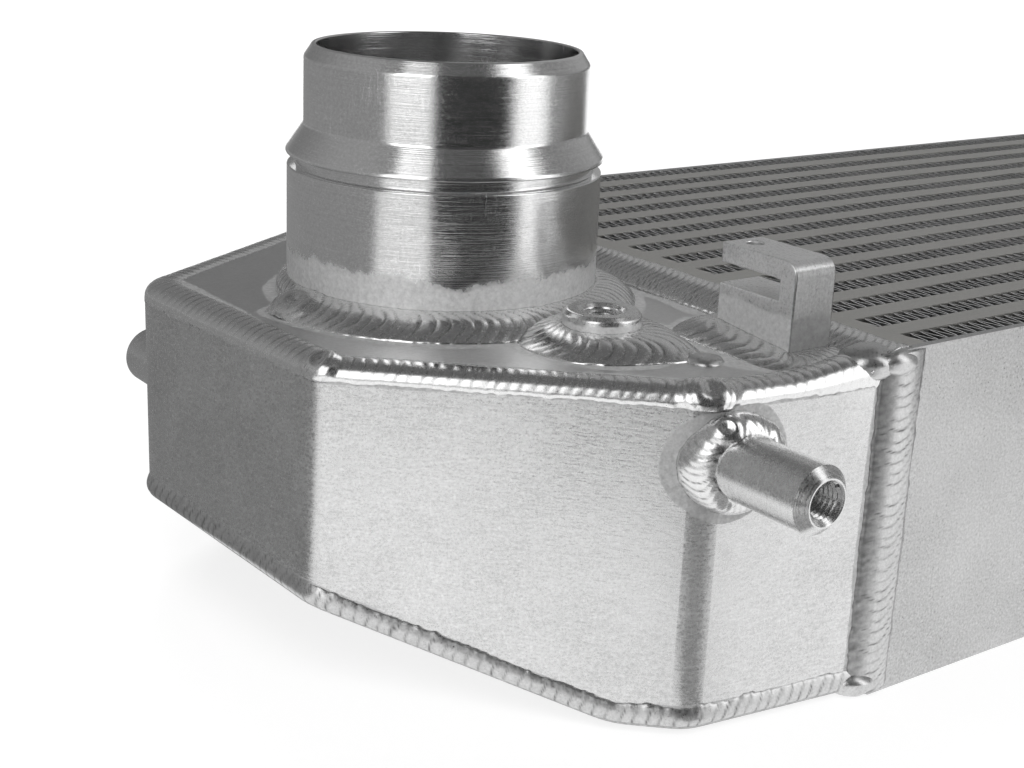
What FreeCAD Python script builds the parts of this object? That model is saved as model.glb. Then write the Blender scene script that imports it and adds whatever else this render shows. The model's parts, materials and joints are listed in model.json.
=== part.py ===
import FreeCAD, Part
import math
import os

# Bar-and-plate intercooler of welded aluminium, in millimetres.
# X runs along the core, Y across its rows and Z up. The origin is the centre of
# the core's bottom face. The inlet tank is at the low X end, and the near side is
# the low Y side. Tank places are given as a reach out from the core's end and a
# distance from the core's near side.

V = FreeCAD.Vector

# Core
core_length = 560.0
core_thickness = 84.6
fin_rows = 14
fin_row_width = 7.4
tube_gap = 5.4
sheet_thickness = 0.5
side_plate_thickness = 2.0
tube_bar_height = 6.0
end_bar_length = 8.0

# Folded fin strips: cooling air fins between the tubes, turbulators inside them
fin_metal = 0.4
fin_recess = 1.4
fin_waves = 24
turbulator_metal = 0.3
turbulator_setback = 4.0
turbulator_waves = 4

# Tank shell
tank_top = 80.4
tank_floor = 2.3
tank_wall = 3.2
top_plate_thickness = 3.2
top_plate_setback = 2.4
bottom_plate_thickness = 3.2
tank_side_inset = 0.5
near_knee_reach = 50.5
near_knee_inset = 7.2
far_knee_reach = 42.0
far_knee_inset = 2.4
end_face_width = 79.0
end_reach_near = 112.8
end_reach_far = 117.4
near_knee_radius = 12.0
end_near_radius = 10.0
end_far_radius = 13.0
far_knee_radius = 8.0
floor_fold_reach = 63.0
floor_rise_degrees = 24.0
floor_fold_radius = 14.0

# Neck for a push-on hose coupling
neck_reach = 53.7
neck_from_near = 103.6
neck_bore_radius = 31.2
neck_base_radius = 38.1
neck_sleeve_radius = 34.2
neck_ridge_radius = 38.4
neck_groove_depth = 2.2
neck_base_height = 31.4
neck_groove_width = 2.8
neck_ridge_land = 0.8
neck_ramp_height = 6.2
neck_sleeve_height = 15.6
neck_nose_height = 3.0
neck_rim_width = 1.0

# Sensor bung beside the neck
bung_radius = 9.0
bung_gap_to_neck = 8.0
bung_towards_core = 6.6
bung_height = 7.6
bung_hole_radius = 4.45
bung_edge_break = 1.0

# Bracket cut from bar, open towards the far side
bracket_reach = 6.4
bracket_width = 12.3
bracket_from_near = 17.2
bracket_length = 24.0
bracket_height = 21.6
bracket_foot_height = 12.2
bracket_arm_thickness = 4.6
bracket_post_thickness = 5.0
bracket_corner_radius = 3.6
bracket_hole_radius = 2.1
bracket_hole_from_tip = 4.2

# Threaded pegs on the tank walls
peg_radius = 7.5
peg_edge_break = 2.2
peg_hole_radius = 4.25
peg_hole_depth = 16.0
peg_hole_break = 0.7
peg_root_depth = 16.0
near_peg_reach = 44.0
near_peg_height = 64.3
near_peg_stand_off = 20.8
far_peg_from_end = 17.6
far_peg_height = 51.3
far_peg_inset = 14.8

# Weld beads
seam_sides = 10
top_seam_half_width = 5.0
top_seam_half_height = 3.9
top_seam_inset = 4.8
top_seam_sink = 3.2
top_seam_lid_toe = 7.8
top_seam_wall_root = 0.25
top_seam_steps = 5
bottom_seam_radius = 3.4
bottom_seam_inset = 2.2
bottom_seam_lift = 2.8
core_seam_lid_lap = 9.5
core_seam_tank_lap = 7.0
core_seam_crest_reach = 1.4
core_seam_core_lap = 2.2
core_seam_side_lap = 6.0
core_seam_crown = 1.8
core_seam_rise = 0.4
neck_bead_reach = 11.0
neck_bead_height = 5.0
bung_bead_reach = 11.0
bung_bead_height = 4.4
bracket_bead_reach = 12.0
bracket_bead_height = 5.0
bracket_bead_clip = 7.0
peg_bead_reach = 4.0
peg_bead_height = 6.0
peg_bead_bulge = 1.5
near_peg_bead_depth = 5.5
far_peg_bead_depth = 8.0
bead_bulge = 1.0

# How far a cutting block runs past the face that it cuts
cut_margin = 1.0

# Sizes that follow from the ones above
tube_pitch = tube_gap + 2 * sheet_thickness + fin_row_width
tube_count = fin_rows - 1
core_width = (2 * side_plate_thickness + fin_rows * fin_row_width
              + tube_count * (tube_gap + 2 * sheet_thickness))
floor_rise = math.radians(floor_rise_degrees)
neck_ridge_base = neck_base_height + neck_groove_width
neck_sleeve_base = neck_ridge_base + neck_ridge_land + neck_ramp_height
neck_nose_base = neck_sleeve_base + neck_sleeve_height
neck_height = neck_nose_base + neck_nose_height
bung_reach = neck_reach - bung_towards_core
bung_from_near = neck_from_near - neck_base_radius - bung_gap_to_neck - bung_radius
far_peg_reach = end_reach_far - far_peg_from_end


def from_end(reach, across, height=0.0):
    """A point on the inlet tank: out from the core's end, across from its near side, up."""
    return V(-core_length / 2 - reach, across - core_width / 2, height)


def rounded_path(points, radii):
    """Straight runs joined by tangent arcs, with one radius for each inner point."""
    edges = []
    start = points[0]
    for before, corner, after, radius in zip(points, points[1:], points[2:], radii):
        arriving = (corner - before).normalize()
        leaving = (after - corner).normalize()
        half_turn = arriving.getAngle(leaving) / 2
        trim = radius * math.tan(half_turn)
        arc_start = corner - arriving * trim
        arc_end = corner + leaving * trim
        inward = (leaving - arriving).normalize()
        arc_middle = corner + inward * (radius / math.cos(half_turn) - radius)
        edges.append(Part.LineSegment(start, arc_start).toShape())
        edges.append(Part.Arc(arc_start, arc_middle, arc_end).toShape())
        start = arc_end
    edges.append(Part.LineSegment(start, points[-1]).toShape())
    return edges


def straight_runs(*points):
    """Straight edges from point to point."""
    return [Part.LineSegment(a, b).toShape() for a, b in zip(points, points[1:])]


def closed_face(edges, *corners):
    """A face bounded by a path of edges and by straight lines back through the corners."""
    closing = straight_runs(edges[-1].Vertexes[-1].Point, *corners, edges[0].Vertexes[0].Point)
    return Part.Face(Part.Wire(edges + closing))


def polygon(points):
    """A flat face with straight sides."""
    return Part.Face(Part.makePolygon([*points, points[0]]))


def box(low, high):
    """A box between two corners."""
    size = high - low
    return Part.makeBox(size.x, size.y, size.z, low)


def turned(section, place, axis=V(0, 0, 1)):
    """A face of (radius, height) in the XZ plane, turned about Z and set along an axis."""
    solid = section.revolve(V(0, 0, 0), V(0, 0, 1), 360)
    solid.Placement = FreeCAD.Placement(place, FreeCAD.Rotation(V(0, 0, 1), axis))
    return solid


def profile(*points):
    """A turning section from pairs of radius and height."""
    return polygon([V(radius, 0, height) for radius, height in points])


def crowned(radius, reach, height, bulge, depth=0.0):
    """A fillet section against a round part: a foot, a crowned face and the part's side."""
    toe = V(radius + reach, 0, -depth)
    top = V(radius, 0, height)
    outward = V(height + depth, 0, reach).normalize()
    crest = (toe + top) * 0.5 + outward * bulge
    return polygon([toe, crest, top, V(radius, 0, -depth)])


# Core of stacked passages
def row_start(row):
    """The near face of a row of cooling fins, as a Y place."""
    return -core_width / 2 + side_plate_thickness + row * tube_pitch


def core_slab(y_low, y_high, z_low=0.0, z_high=core_thickness):
    """A slab along the core, between two Y places."""
    half = core_length / 2
    return box(V(-half, y_low, z_low), V(half, y_high, z_high))


def make_side_plate(side):
    """The flat sheet that closes one side of the stack, side -1 near and 1 far."""
    outer = side * core_width / 2
    inner = outer - side * side_plate_thickness
    return core_slab(min(outer, inner), max(outer, inner))


def make_parting_sheets():
    """The thin sheets on both faces of each charge tube."""
    sheets = []
    for tube in range(tube_count):
        near = row_start(tube) + fin_row_width
        for low in (near, near + sheet_thickness + tube_gap):
            sheets.append(core_slab(low, low + sheet_thickness))
    return Part.makeCompound(sheets)


def make_tube_bars():
    """The long bars that close each charge tube at its top and bottom."""
    bars = []
    for tube in range(tube_count):
        low = row_start(tube) + fin_row_width + sheet_thickness
        for z_low in (0.0, core_thickness - tube_bar_height):
            bars.append(core_slab(low, low + tube_gap, z_low=z_low, z_high=z_low + tube_bar_height))
    return Part.makeCompound(bars)


def make_end_bars():
    """The short upright bars that close each cooling row towards the tanks."""
    bars = []
    for row in range(fin_rows):
        low = row_start(row)
        for x_low in (-core_length / 2, core_length / 2 - end_bar_length):
            corner = V(x_low, low, 0)
            bars.append(box(corner, corner + V(end_bar_length, fin_row_width, core_thickness)))
    return Part.makeCompound(bars)


def folded_strip(origin, along, across, waves, length, width, metal):
    """The section of a sheet folded to and fro, between two walls a width apart."""
    half_wave = length / waves / 2
    thickness_across = metal * math.hypot(half_wave, width) / half_wave
    travel = width - thickness_across
    first = [origin + along * (half_wave * step) + across * (travel * (step % 2))
             for step in range(2 * waves + 1)]
    second = [point + across * thickness_across for point in first]
    return polygon(first + second[::-1])


def make_air_fins():
    """The folded strip of cooling fins in each row."""
    strips = []
    for row in range(fin_rows):
        origin = V(-core_length / 2 + end_bar_length, row_start(row), fin_recess)
        length = core_length - 2 * end_bar_length
        section = folded_strip(origin, V(1, 0, 0), V(0, 1, 0), fin_waves, length, fin_row_width, fin_metal)
        strips.append(section.extrude(V(0, 0, core_thickness - 2 * fin_recess)))
    return Part.makeCompound(strips)


def make_turbulators():
    """The folded strip that fills each charge tube between its bars."""
    strips = []
    for tube in range(tube_count):
        across_start = row_start(tube) + fin_row_width + sheet_thickness
        origin = V(-core_length / 2 + turbulator_setback, across_start, tube_bar_height)
        length = core_thickness - 2 * tube_bar_height
        section = folded_strip(origin, V(0, 0, 1), V(0, 1, 0), turbulator_waves, length, tube_gap, turbulator_metal)
        strips.append(section.extrude(V(core_length - 2 * turbulator_setback, 0, 0)))
    return Part.makeCompound(strips)


# Tank shell
def tank_corners(inset=0.0):
    """The six corners of the tank's plan, moved inwards by an inset."""
    end_near = neck_from_near - end_face_width / 2
    plan = [from_end(0, tank_side_inset), from_end(near_knee_reach, near_knee_inset),
            from_end(end_reach_near, end_near), from_end(end_reach_far, end_near + end_face_width),
            from_end(far_knee_reach, core_width - far_knee_inset), from_end(0, core_width - tank_side_inset)]
    moved = []
    for before, corner, after in zip(plan, plan[1:], plan[2:]):
        arriving = (corner - before).normalize()
        leaving = (after - corner).normalize()
        half_turn = arriving.getAngle(leaving) / 2
        moved.append(corner + (leaving - arriving).normalize() * (inset / math.cos(half_turn)))
    near_run = (plan[1] - plan[0]).normalize()
    far_run = (plan[-1] - plan[-2]).normalize()
    near_start = plan[0] + V(0, inset / abs(near_run.x), 0)
    far_end = plan[-1] - V(0, inset / abs(far_run.x), 0)
    return [near_start, *moved, far_end]


def tank_radii(inset=0.0):
    """The bend radii at the four inner corners of the plan."""
    return [r - inset for r in (near_knee_radius, end_near_radius, end_far_radius, far_knee_radius)]


def tank_outline(inset, height):
    """The tank's plan, moved inwards, as a level face."""
    face = closed_face(rounded_path(tank_corners(inset), tank_radii(inset)))
    face.translate(V(0, 0, height))
    return face


def tank_prism(inset, z_low, z_high):
    """The tank's plan, moved inwards, as an upright solid."""
    return tank_outline(inset, z_low).extrude(V(0, 0, z_high - z_low))


def floor_height(reach, lift=0.0):
    """The height of the tank's underside at a reach, or of a surface lifted above it."""
    fold_at = floor_fold_reach - lift * math.tan(floor_rise / 2)
    return tank_floor + lift + max(0.0, reach - fold_at) * math.tan(floor_rise)


def under_floor(lift):
    """All that lies below the tank's folded underside, or below a surface lifted from it."""
    fold_at = floor_fold_reach - lift * math.tan(floor_rise / 2)
    tip = end_reach_far + end_face_width
    line = [from_end(-cut_margin, 0, tank_floor + lift), from_end(fold_at, 0, tank_floor + lift),
            from_end(tip, 0, floor_height(tip, lift))]
    below = -tank_top
    section = closed_face(rounded_path(line, [floor_fold_radius - lift]),
                          from_end(tip, 0, below), from_end(-cut_margin, 0, below))
    section.translate(V(0, -core_width / 2, 0))
    return section.extrude(V(0, 2 * core_width, 0))


def tank_body():
    """The whole outer form of the tank, as one solid block with the lid set back on it."""
    wall_top = tank_top - top_plate_thickness
    lid = tank_prism(top_plate_setback, wall_top, tank_top)
    return tank_prism(0, 0, wall_top).fuse(lid).cut(under_floor(0))


def make_wall():
    """The side sheet, bent round the tank from one side of the core to the other."""
    top = tank_top - top_plate_thickness
    band = tank_prism(0, 0, top).cut(tank_prism(tank_wall, -cut_margin, top + cut_margin))
    return band.cut(under_floor(bottom_plate_thickness))


def make_bottom_plate():
    """The floor sheet, folded up towards the tank's end."""
    block = tank_prism(0, 0, tank_top)
    return block.common(under_floor(bottom_plate_thickness)).cut(under_floor(0))


def make_top_plate(with_bung):
    """The flat lid, set back on the wall's top edge and bored under the neck and the bung."""
    plate = tank_prism(top_plate_setback, tank_top - top_plate_thickness, tank_top)
    below = tank_top - 2 * top_plate_thickness
    depth = 3 * top_plate_thickness
    plate = plate.cut(Part.makeCylinder(neck_bore_radius, depth, from_end(neck_reach, neck_from_near, below)))
    if with_bung:
        plate = plate.cut(Part.makeCylinder(bung_hole_radius, depth, from_end(bung_reach, bung_from_near, below)))
    return plate


# Fittings
def make_neck():
    """The turned neck: base, groove, ramped ridge, sleeve and tapered nose."""
    groove_radius = neck_base_radius - neck_groove_depth
    rim_radius = neck_bore_radius + neck_rim_width
    section = profile(
        (neck_bore_radius, 0), (neck_base_radius, 0), (neck_base_radius, neck_base_height),
        (groove_radius, neck_base_height), (groove_radius, neck_ridge_base),
        (neck_ridge_radius, neck_ridge_base), (neck_ridge_radius, neck_ridge_base + neck_ridge_land),
        (neck_sleeve_radius, neck_sleeve_base), (neck_sleeve_radius, neck_nose_base),
        (rim_radius, neck_height), (neck_bore_radius, neck_height))
    return turned(section, from_end(neck_reach, neck_from_near, tank_top))


def make_bung():
    """The short threaded boss for a sensor."""
    section = profile(
        (bung_hole_radius, 0), (bung_radius, 0), (bung_radius, bung_height - bung_edge_break),
        (bung_radius - bung_edge_break, bung_height), (bung_hole_radius + bung_edge_break, bung_height),
        (bung_hole_radius, bung_height - bung_edge_break))
    return turned(section, from_end(bung_reach, bung_from_near, tank_top))


def bracket_point(along, height):
    """A point on the bracket's outline: back from its near face, and up from the lid."""
    return from_end(bracket_reach, bracket_from_near + along, tank_top + height)


def make_bracket():
    """The bar bracket: foot, upright post and upper arm, with a tapped hole at the arm's tip."""
    arm_under = bracket_height - bracket_arm_thickness
    back = [bracket_point(bracket_length, bracket_height), bracket_point(0, bracket_height), bracket_point(0, 0)]
    outline = closed_face(
        rounded_path(back, [bracket_corner_radius]),
        bracket_point(bracket_length, 0), bracket_point(bracket_length, bracket_foot_height),
        bracket_point(bracket_post_thickness, bracket_foot_height),
        bracket_point(bracket_post_thickness, arm_under), bracket_point(bracket_length, arm_under))
    body = outline.extrude(V(-bracket_width, 0, 0))
    hole_at = bracket_point(bracket_length - bracket_hole_from_tip, arm_under - cut_margin)
    hole_at -= V(bracket_width / 2, 0, 0)
    depth = bracket_arm_thickness + 2 * cut_margin
    return body.cut(Part.makeCylinder(bracket_hole_radius, depth, hole_at))


def make_peg(tip, direction, wall_point):
    """A round threaded peg from the tank's wall to its tip."""
    length = (tip - wall_point).dot(direction) + peg_root_depth
    floor_of_hole = profile(
        (0, peg_hole_depth), (peg_radius, peg_hole_depth), (peg_radius, length), (0, length))
    sleeve = profile(
        (peg_hole_radius, peg_hole_depth), (peg_hole_radius, peg_hole_break),
        (peg_hole_radius + peg_hole_break, 0), (peg_radius - peg_edge_break, 0),
        (peg_radius, peg_edge_break), (peg_radius, peg_hole_depth))
    peg = turned(sleeve, tip, direction * -1).fuse(turned(floor_of_hole, tip, direction * -1))
    return peg.removeSplitter().cut(tank_body())


def run_height(reach_at, start, end):
    """The Y place of a wall run at a given X place."""
    share = (reach_at - start.x) / (end.x - start.x)
    return start.y + (end.y - start.y) * share


def peg_places():
    """Tip, direction and wall point of the near peg and the far peg."""
    corners = tank_corners()
    near_tip = from_end(near_peg_reach, -near_peg_stand_off, near_peg_height)
    far_tip = from_end(far_peg_reach, core_width - far_peg_inset, far_peg_height)
    near_wall = V(near_tip.x, run_height(near_tip.x, corners[0], corners[1]), near_tip.z)
    far_wall = V(far_tip.x, run_height(far_tip.x, corners[3], corners[4]), far_tip.z)
    return (near_tip, V(0, -1, 0), near_wall), (far_tip, V(0, 1, 0), far_wall)


# Weld beads
def seam_point(angle):
    """Inset and height of a place on the top seam's crown, an ellipse over the lid's edge."""
    inset = top_seam_inset - top_seam_half_width * math.cos(angle)
    return inset, tank_top - top_seam_sink + top_seam_half_height * math.sin(angle)


def crown_loft(first_inset, above):
    """The block inside the top seam's crown, from one inset up to the crest and above it."""
    first = math.acos((top_seam_inset - first_inset) / top_seam_half_width)
    if first_inset < top_seam_inset:
        first = -first
    angles = [first + (math.pi / 2 - first) * step / top_seam_steps for step in range(top_seam_steps + 1)]
    outlines = [tank_outline(*seam_point(angle)).OuterWire for angle in angles]
    if above:
        outlines.append(tank_outline(top_seam_inset - above, tank_top + above).OuterWire)
    return Part.makeLoft(outlines, True, True)


def swept_bead(points, radii, bead_radius):
    """A nearly round bead along a path of runs and arcs."""
    path = Part.Wire(rounded_path(points, radii))
    forward = (points[1] - points[0]).normalize()
    sideways = forward.cross(V(0, 0, 1))
    angles = [2 * math.pi * (side + 0.5) / seam_sides for side in range(seam_sides)]
    section = polygon([points[0] + (sideways * math.cos(a) + V(0, 0, 1) * math.sin(a)) * bead_radius
                       for a in angles])
    return path.makePipe(section)


def core_block():
    """The core's outer form."""
    return core_slab(-core_width / 2, core_width / 2)


def make_top_seam(cuts):
    """The bead that fills the step at the lid's edge and rounds it off."""
    bead = crown_loft(top_seam_wall_root, 0).cut(crown_loft(top_seam_lid_toe, cut_margin))
    for solid in [tank_body(), core_block(), *cuts]:
        bead = bead.cut(solid)
    return bead


def make_bottom_seam(cuts):
    """The bead round the floor's edge, which climbs with the floor towards the tank's end."""
    corners = tank_corners(bottom_seam_inset)
    radii = tank_radii(bottom_seam_inset)
    fold_x = from_end(floor_fold_reach - bottom_seam_lift * math.tan(floor_rise / 2), 0).x
    near_fold = V(fold_x, run_height(fold_x, corners[1], corners[2]), 0)
    far_fold = V(fold_x, run_height(fold_x, corners[3], corners[4]), 0)
    path = corners[:2] + [near_fold] + corners[2:4] + [far_fold] + corners[4:]
    bends = [radii[0], floor_fold_radius, radii[1], radii[2], floor_fold_radius, radii[3]]
    raised = [point + V(0, 0, floor_height(-core_length / 2 - point.x, bottom_seam_lift)) for point in path]
    bead = swept_bead(raised, bends, bottom_seam_radius)
    for solid in [tank_body(), core_block(), *cuts]:
        bead = bead.cut(solid)
    return bead


def make_core_seam(cuts):
    """The bead round the joint of tank and core, cut from its plan and its side view."""
    end_x = -core_length / 2
    toe_x = end_x - core_seam_tank_lap
    lid_toe_x = end_x - core_seam_lid_lap
    lap_x = end_x + core_seam_core_lap
    side_lap_x = end_x + core_seam_side_lap
    corners = tank_corners()
    near = -core_width / 2
    near_arc = Part.Arc(V(toe_x, run_height(toe_x, corners[0], corners[1]), 0),
                        V(end_x - core_seam_crest_reach, near - core_seam_crown, 0),
                        V(side_lap_x, near, 0)).toShape()
    far_arc = Part.Arc(V(side_lap_x, -near, 0), V(end_x - core_seam_crest_reach, core_seam_crown - near, 0),
                       V(toe_x, run_height(toe_x, corners[5], corners[4]), 0)).toShape()
    plan = closed_face([near_arc, *straight_runs(V(side_lap_x, near, 0), V(side_lap_x, -near, 0)), far_arc],
                       V(toe_x, -near - tank_wall, 0), V(lid_toe_x, -near - tank_wall, 0),
                       V(lid_toe_x, near + tank_wall, 0), V(toe_x, near + tank_wall, 0))

    lid_crest = V((lap_x + lid_toe_x) / 2, 0, core_thickness + core_seam_rise)
    lid_arc = Part.Arc(V(lid_toe_x, 0, tank_top), lid_crest, V(lap_x, 0, core_thickness)).toShape()
    floor_crest = V((end_x + toe_x) / 2, 0, tank_floor / 2 - core_seam_rise)
    floor_arc = Part.Arc(V(end_x, 0, 0), floor_crest, V(toe_x, 0, tank_floor)).toShape()
    heel = straight_runs(V(lap_x, 0, core_thickness), V(side_lap_x, 0, core_thickness),
                         V(side_lap_x, 0, 0), V(end_x, 0, 0))
    side_view = closed_face([lid_arc, *heel, floor_arc], V(lid_toe_x, 0, tank_floor))
    side_view.translate(V(0, -core_width, 0))
    seam = plan.extrude(V(0, 0, 2 * core_thickness)).common(side_view.extrude(V(0, 2 * core_width, 0)))
    for solid in [core_block(), tank_body(), *cuts]:
        seam = seam.cut(solid)
    return seam


def make_neck_bead(cuts):
    """The fillet round the neck's base, which stops at the core's seam."""
    section = crowned(neck_base_radius, neck_bead_reach, neck_bead_height, bead_bulge)
    bead = turned(section, from_end(neck_reach, neck_from_near, tank_top))
    core_side = box(V(-core_length / 2 - core_seam_lid_lap, -core_width, 0), V(0, core_width, 2 * tank_top))
    for solid in [core_side, *cuts]:
        bead = bead.cut(solid)
    return bead


def make_bung_bead(neck_bead):
    """The fillet round the bung, which runs into the neck's fillet."""
    section = crowned(bung_radius, bung_bead_reach, bung_bead_height, bead_bulge)
    bead = turned(section, from_end(bung_reach, bung_from_near, tank_top))
    neck_round = Part.makeCylinder(neck_base_radius, neck_height, from_end(neck_reach, neck_from_near, tank_top))
    return bead.cut(neck_round).cut(neck_bead)


def clipped_rectangle(low, high, clip):
    """A closed outline round a level rectangle with its corners cut off."""
    across = V(clip, 0, 0)
    along = V(0, clip, 0)
    right_low = V(high.x, low.y, low.z)
    left_high = V(low.x, high.y, low.z)
    ring = [low + across, right_low - across, right_low + along, high - along,
            high - across, left_high + across, left_high - along, low + along]
    return Part.makePolygon([*ring, ring[0]])


def make_bracket_bead(bracket, cuts):
    """The sloping fillet round the bracket's foot."""
    low = bracket_point(0, 0) - V(bracket_width, 0, 0)
    high = bracket_point(bracket_length, 0)
    out = V(bracket_bead_reach, bracket_bead_reach, 0)
    rise = V(0, 0, bracket_bead_height)
    edge = V(bead_bulge, bead_bulge, 0)
    base = clipped_rectangle(low - out, high + out, bracket_bead_clip)
    crest = clipped_rectangle(low + rise - edge, high + rise + edge, bead_bulge)
    bead = Part.makeLoft([base, crest], True, True)
    for solid in [bracket, core_block(), *cuts]:
        bead = bead.cut(solid)
    return bead


def make_peg_bead(direction, wall_point, depth):
    """The fillet that fills the corner between a peg and the bent wall, kept under the lid's seam."""
    section = crowned(peg_radius, peg_bead_reach, peg_bead_height, peg_bead_bulge, depth)
    bead = turned(section, wall_point, direction)
    foot_angle = math.acos(top_seam_inset / top_seam_half_width)
    seam_foot = seam_point(-foot_angle)[1]
    above = box(V(-core_length, -core_width, seam_foot), V(0, core_width, 2 * tank_top))
    return bead.cut(tank_body()).cut(above)


# Assembly
def make_tank(with_fittings):
    """Every piece of one tank at the inlet end. The bung and bracket are optional."""
    near_place, far_place = peg_places()
    pieces = {"tank_wall": make_wall(), "top_plate": make_top_plate(with_fittings),
              "bottom_plate": make_bottom_plate(), "neck": make_neck(),
              "near_peg": make_peg(*near_place), "far_peg": make_peg(*far_place)}
    bracket = make_bracket()
    bung_round = Part.makeCylinder(bung_radius, bung_height, from_end(bung_reach, bung_from_near, tank_top))
    core_seam = make_core_seam([bracket] if with_fittings else [])
    top_seam = make_top_seam([core_seam])
    bottom_seam = make_bottom_seam([core_seam])
    neck_bead = make_neck_bead([bung_round] if with_fittings else [])
    pieces.update({"core_seam": core_seam, "top_seam": top_seam, "bottom_seam": bottom_seam,
                   "neck_bead": neck_bead})
    pieces["near_peg_bead"] = make_peg_bead(*near_place[1:], near_peg_bead_depth)
    pieces["far_peg_bead"] = make_peg_bead(*far_place[1:], far_peg_bead_depth)
    if with_fittings:
        bung_bead = make_bung_bead(neck_bead)
        pieces.update({"bung": make_bung(), "bung_bead": bung_bead, "bracket": bracket})
        pieces["bracket_bead"] = make_bracket_bead(bracket, [core_seam, top_seam, bung_bead])
    return pieces


def main():
    parts = {"near_side_plate": make_side_plate(-1), "far_side_plate": make_side_plate(1),
             "parting_sheets": make_parting_sheets(), "tube_bars": make_tube_bars(),
             "end_bars": make_end_bars(), "air_fins": make_air_fins(), "turbulators": make_turbulators()}
    for name, shape in make_tank(with_fittings=True).items():
        parts["inlet_" + name] = shape
    for name, shape in make_tank(with_fittings=False).items():
        parts["outlet_" + name] = shape.mirror(V(0, 0, 0), V(1, 0, 0))
    os.makedirs("parts", exist_ok=True)
    for name, shape in parts.items():
        shape.exportStep("parts/" + name + ".step")
        print(name, len(shape.Solids), shape.isValid(), round(shape.Volume))


main()
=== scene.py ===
# %% [markdown]
# # A welded bar-and-plate intercooler
#
# The object is a long aluminium core with a folded and welded tank at each end. The frame
# brings in the measured solids, so that each piece is set on them and not fitted by eye.

# %% The frame
import json
import math
import bpy
import bmesh
from mathutils import Matrix, Vector, noise
from mathutils.bvhtree import BVHTree


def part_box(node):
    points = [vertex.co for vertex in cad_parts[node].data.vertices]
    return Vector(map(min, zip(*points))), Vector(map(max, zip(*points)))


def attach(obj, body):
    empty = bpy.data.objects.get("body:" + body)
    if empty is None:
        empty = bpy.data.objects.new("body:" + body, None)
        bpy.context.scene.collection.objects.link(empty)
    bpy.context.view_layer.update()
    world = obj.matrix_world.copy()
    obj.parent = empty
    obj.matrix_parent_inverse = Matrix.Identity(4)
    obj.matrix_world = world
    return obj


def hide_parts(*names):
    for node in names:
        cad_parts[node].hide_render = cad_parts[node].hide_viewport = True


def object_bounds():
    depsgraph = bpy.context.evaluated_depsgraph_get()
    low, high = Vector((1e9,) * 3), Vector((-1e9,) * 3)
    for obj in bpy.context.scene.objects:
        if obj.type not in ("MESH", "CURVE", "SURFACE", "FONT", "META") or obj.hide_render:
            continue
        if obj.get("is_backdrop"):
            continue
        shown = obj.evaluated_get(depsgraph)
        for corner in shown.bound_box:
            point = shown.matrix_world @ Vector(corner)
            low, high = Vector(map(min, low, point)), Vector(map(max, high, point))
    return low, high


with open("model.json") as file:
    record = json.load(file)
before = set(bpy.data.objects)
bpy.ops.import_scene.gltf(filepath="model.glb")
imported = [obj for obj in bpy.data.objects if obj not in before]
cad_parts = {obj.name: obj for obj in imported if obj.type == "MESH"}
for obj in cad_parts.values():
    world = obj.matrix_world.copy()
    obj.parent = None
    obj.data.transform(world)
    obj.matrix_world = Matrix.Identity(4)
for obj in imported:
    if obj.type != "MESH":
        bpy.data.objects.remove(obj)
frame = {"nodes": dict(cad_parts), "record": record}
nodes = frame["nodes"]
cad_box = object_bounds()
MM = 0.001
UP = Vector((0, 0, 1))
print("nodes:", len(nodes), "box:", [round(v, 4) for corner in cad_box for v in corner])

# %% [markdown]
# ## The camera
#
# The photograph's viewpoint was found from the core's edges and the neck's circles. A camera
# that is rolled a little is best set as a matrix of its own three directions.

# %% The camera
camera_place = Vector((-559.06, -324.83, 184.58)) * MM
camera_yaw, camera_pitch, camera_roll = (math.radians(a) for a in (36.75, 17.69, -2.46))
camera_lens = 58.51


def look_matrix(place, yaw, pitch, roll):
    """A camera matrix from a place, a heading, a downward pitch and a roll."""
    ahead = Vector((math.sin(yaw) * math.cos(pitch), math.cos(yaw) * math.cos(pitch), -math.sin(pitch)))
    level = Vector((math.cos(yaw), -math.sin(yaw), 0))
    below = ahead.cross(level)
    right = level * math.cos(roll) + below * math.sin(roll)
    down = below * math.cos(roll) - level * math.sin(roll)
    turn = Matrix((right, -down, -ahead)).transposed()
    return Matrix.Translation(place) @ turn.to_4x4()


camera_data = bpy.data.cameras.new("camera")
camera_data.lens = camera_lens
camera_data.sensor_width = 36.0
camera_data.clip_start = 0.01
camera = bpy.data.objects.new("camera", camera_data)
camera.matrix_world = look_matrix(camera_place, camera_yaw, camera_pitch, camera_roll)
bpy.context.scene.collection.objects.link(camera)
bpy.context.scene.camera = camera
bpy.context.scene.view_settings.view_transform = "Standard"
print("camera at", [round(v, 3) for v in camera_place])

# %% [markdown]
# ## Outlines of the solids
#
# The weld seams follow the edges of the tank's sheets, so those edges are read from the
# measured solids. A solid arrives as loose triangles, which is why a copy is merged before
# its edges are walked. Typing the outline in by hand would drift from the solid.

# %% Outlines of the solids
def merged_copy(name):
    """A bmesh of a measured solid with its loose triangles joined."""
    bm = bmesh.new()
    bm.from_mesh(nodes[name].data)
    bm.transform(nodes[name].matrix_world)
    bmesh.ops.remove_doubles(bm, verts=bm.verts, dist=1e-6)
    bm.normal_update()
    return bm


def outline(name, is_face):
    """The longest closed outline of the faces that pass a test, as a list of points."""
    bm = merged_copy(name)
    left = {e for e in bm.edges if len(e.link_faces) == 2
            and is_face(e.link_faces[0]) != is_face(e.link_faces[1])}
    loops = []
    while left:
        edge = left.pop()
        start, here = edge.verts
        loop = [start.co.copy(), here.co.copy()]
        while here != start:
            edge = next(e for e in here.link_edges if e in left)
            left.remove(edge)
            here = edge.other_vert(here)
            loop.append(here.co.copy())
        loops.append(loop[:-1])
    bm.free()
    return max(loops, key=lambda loop: sum((a - b).length for a, b in zip(loop, loop[1:])))


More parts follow.
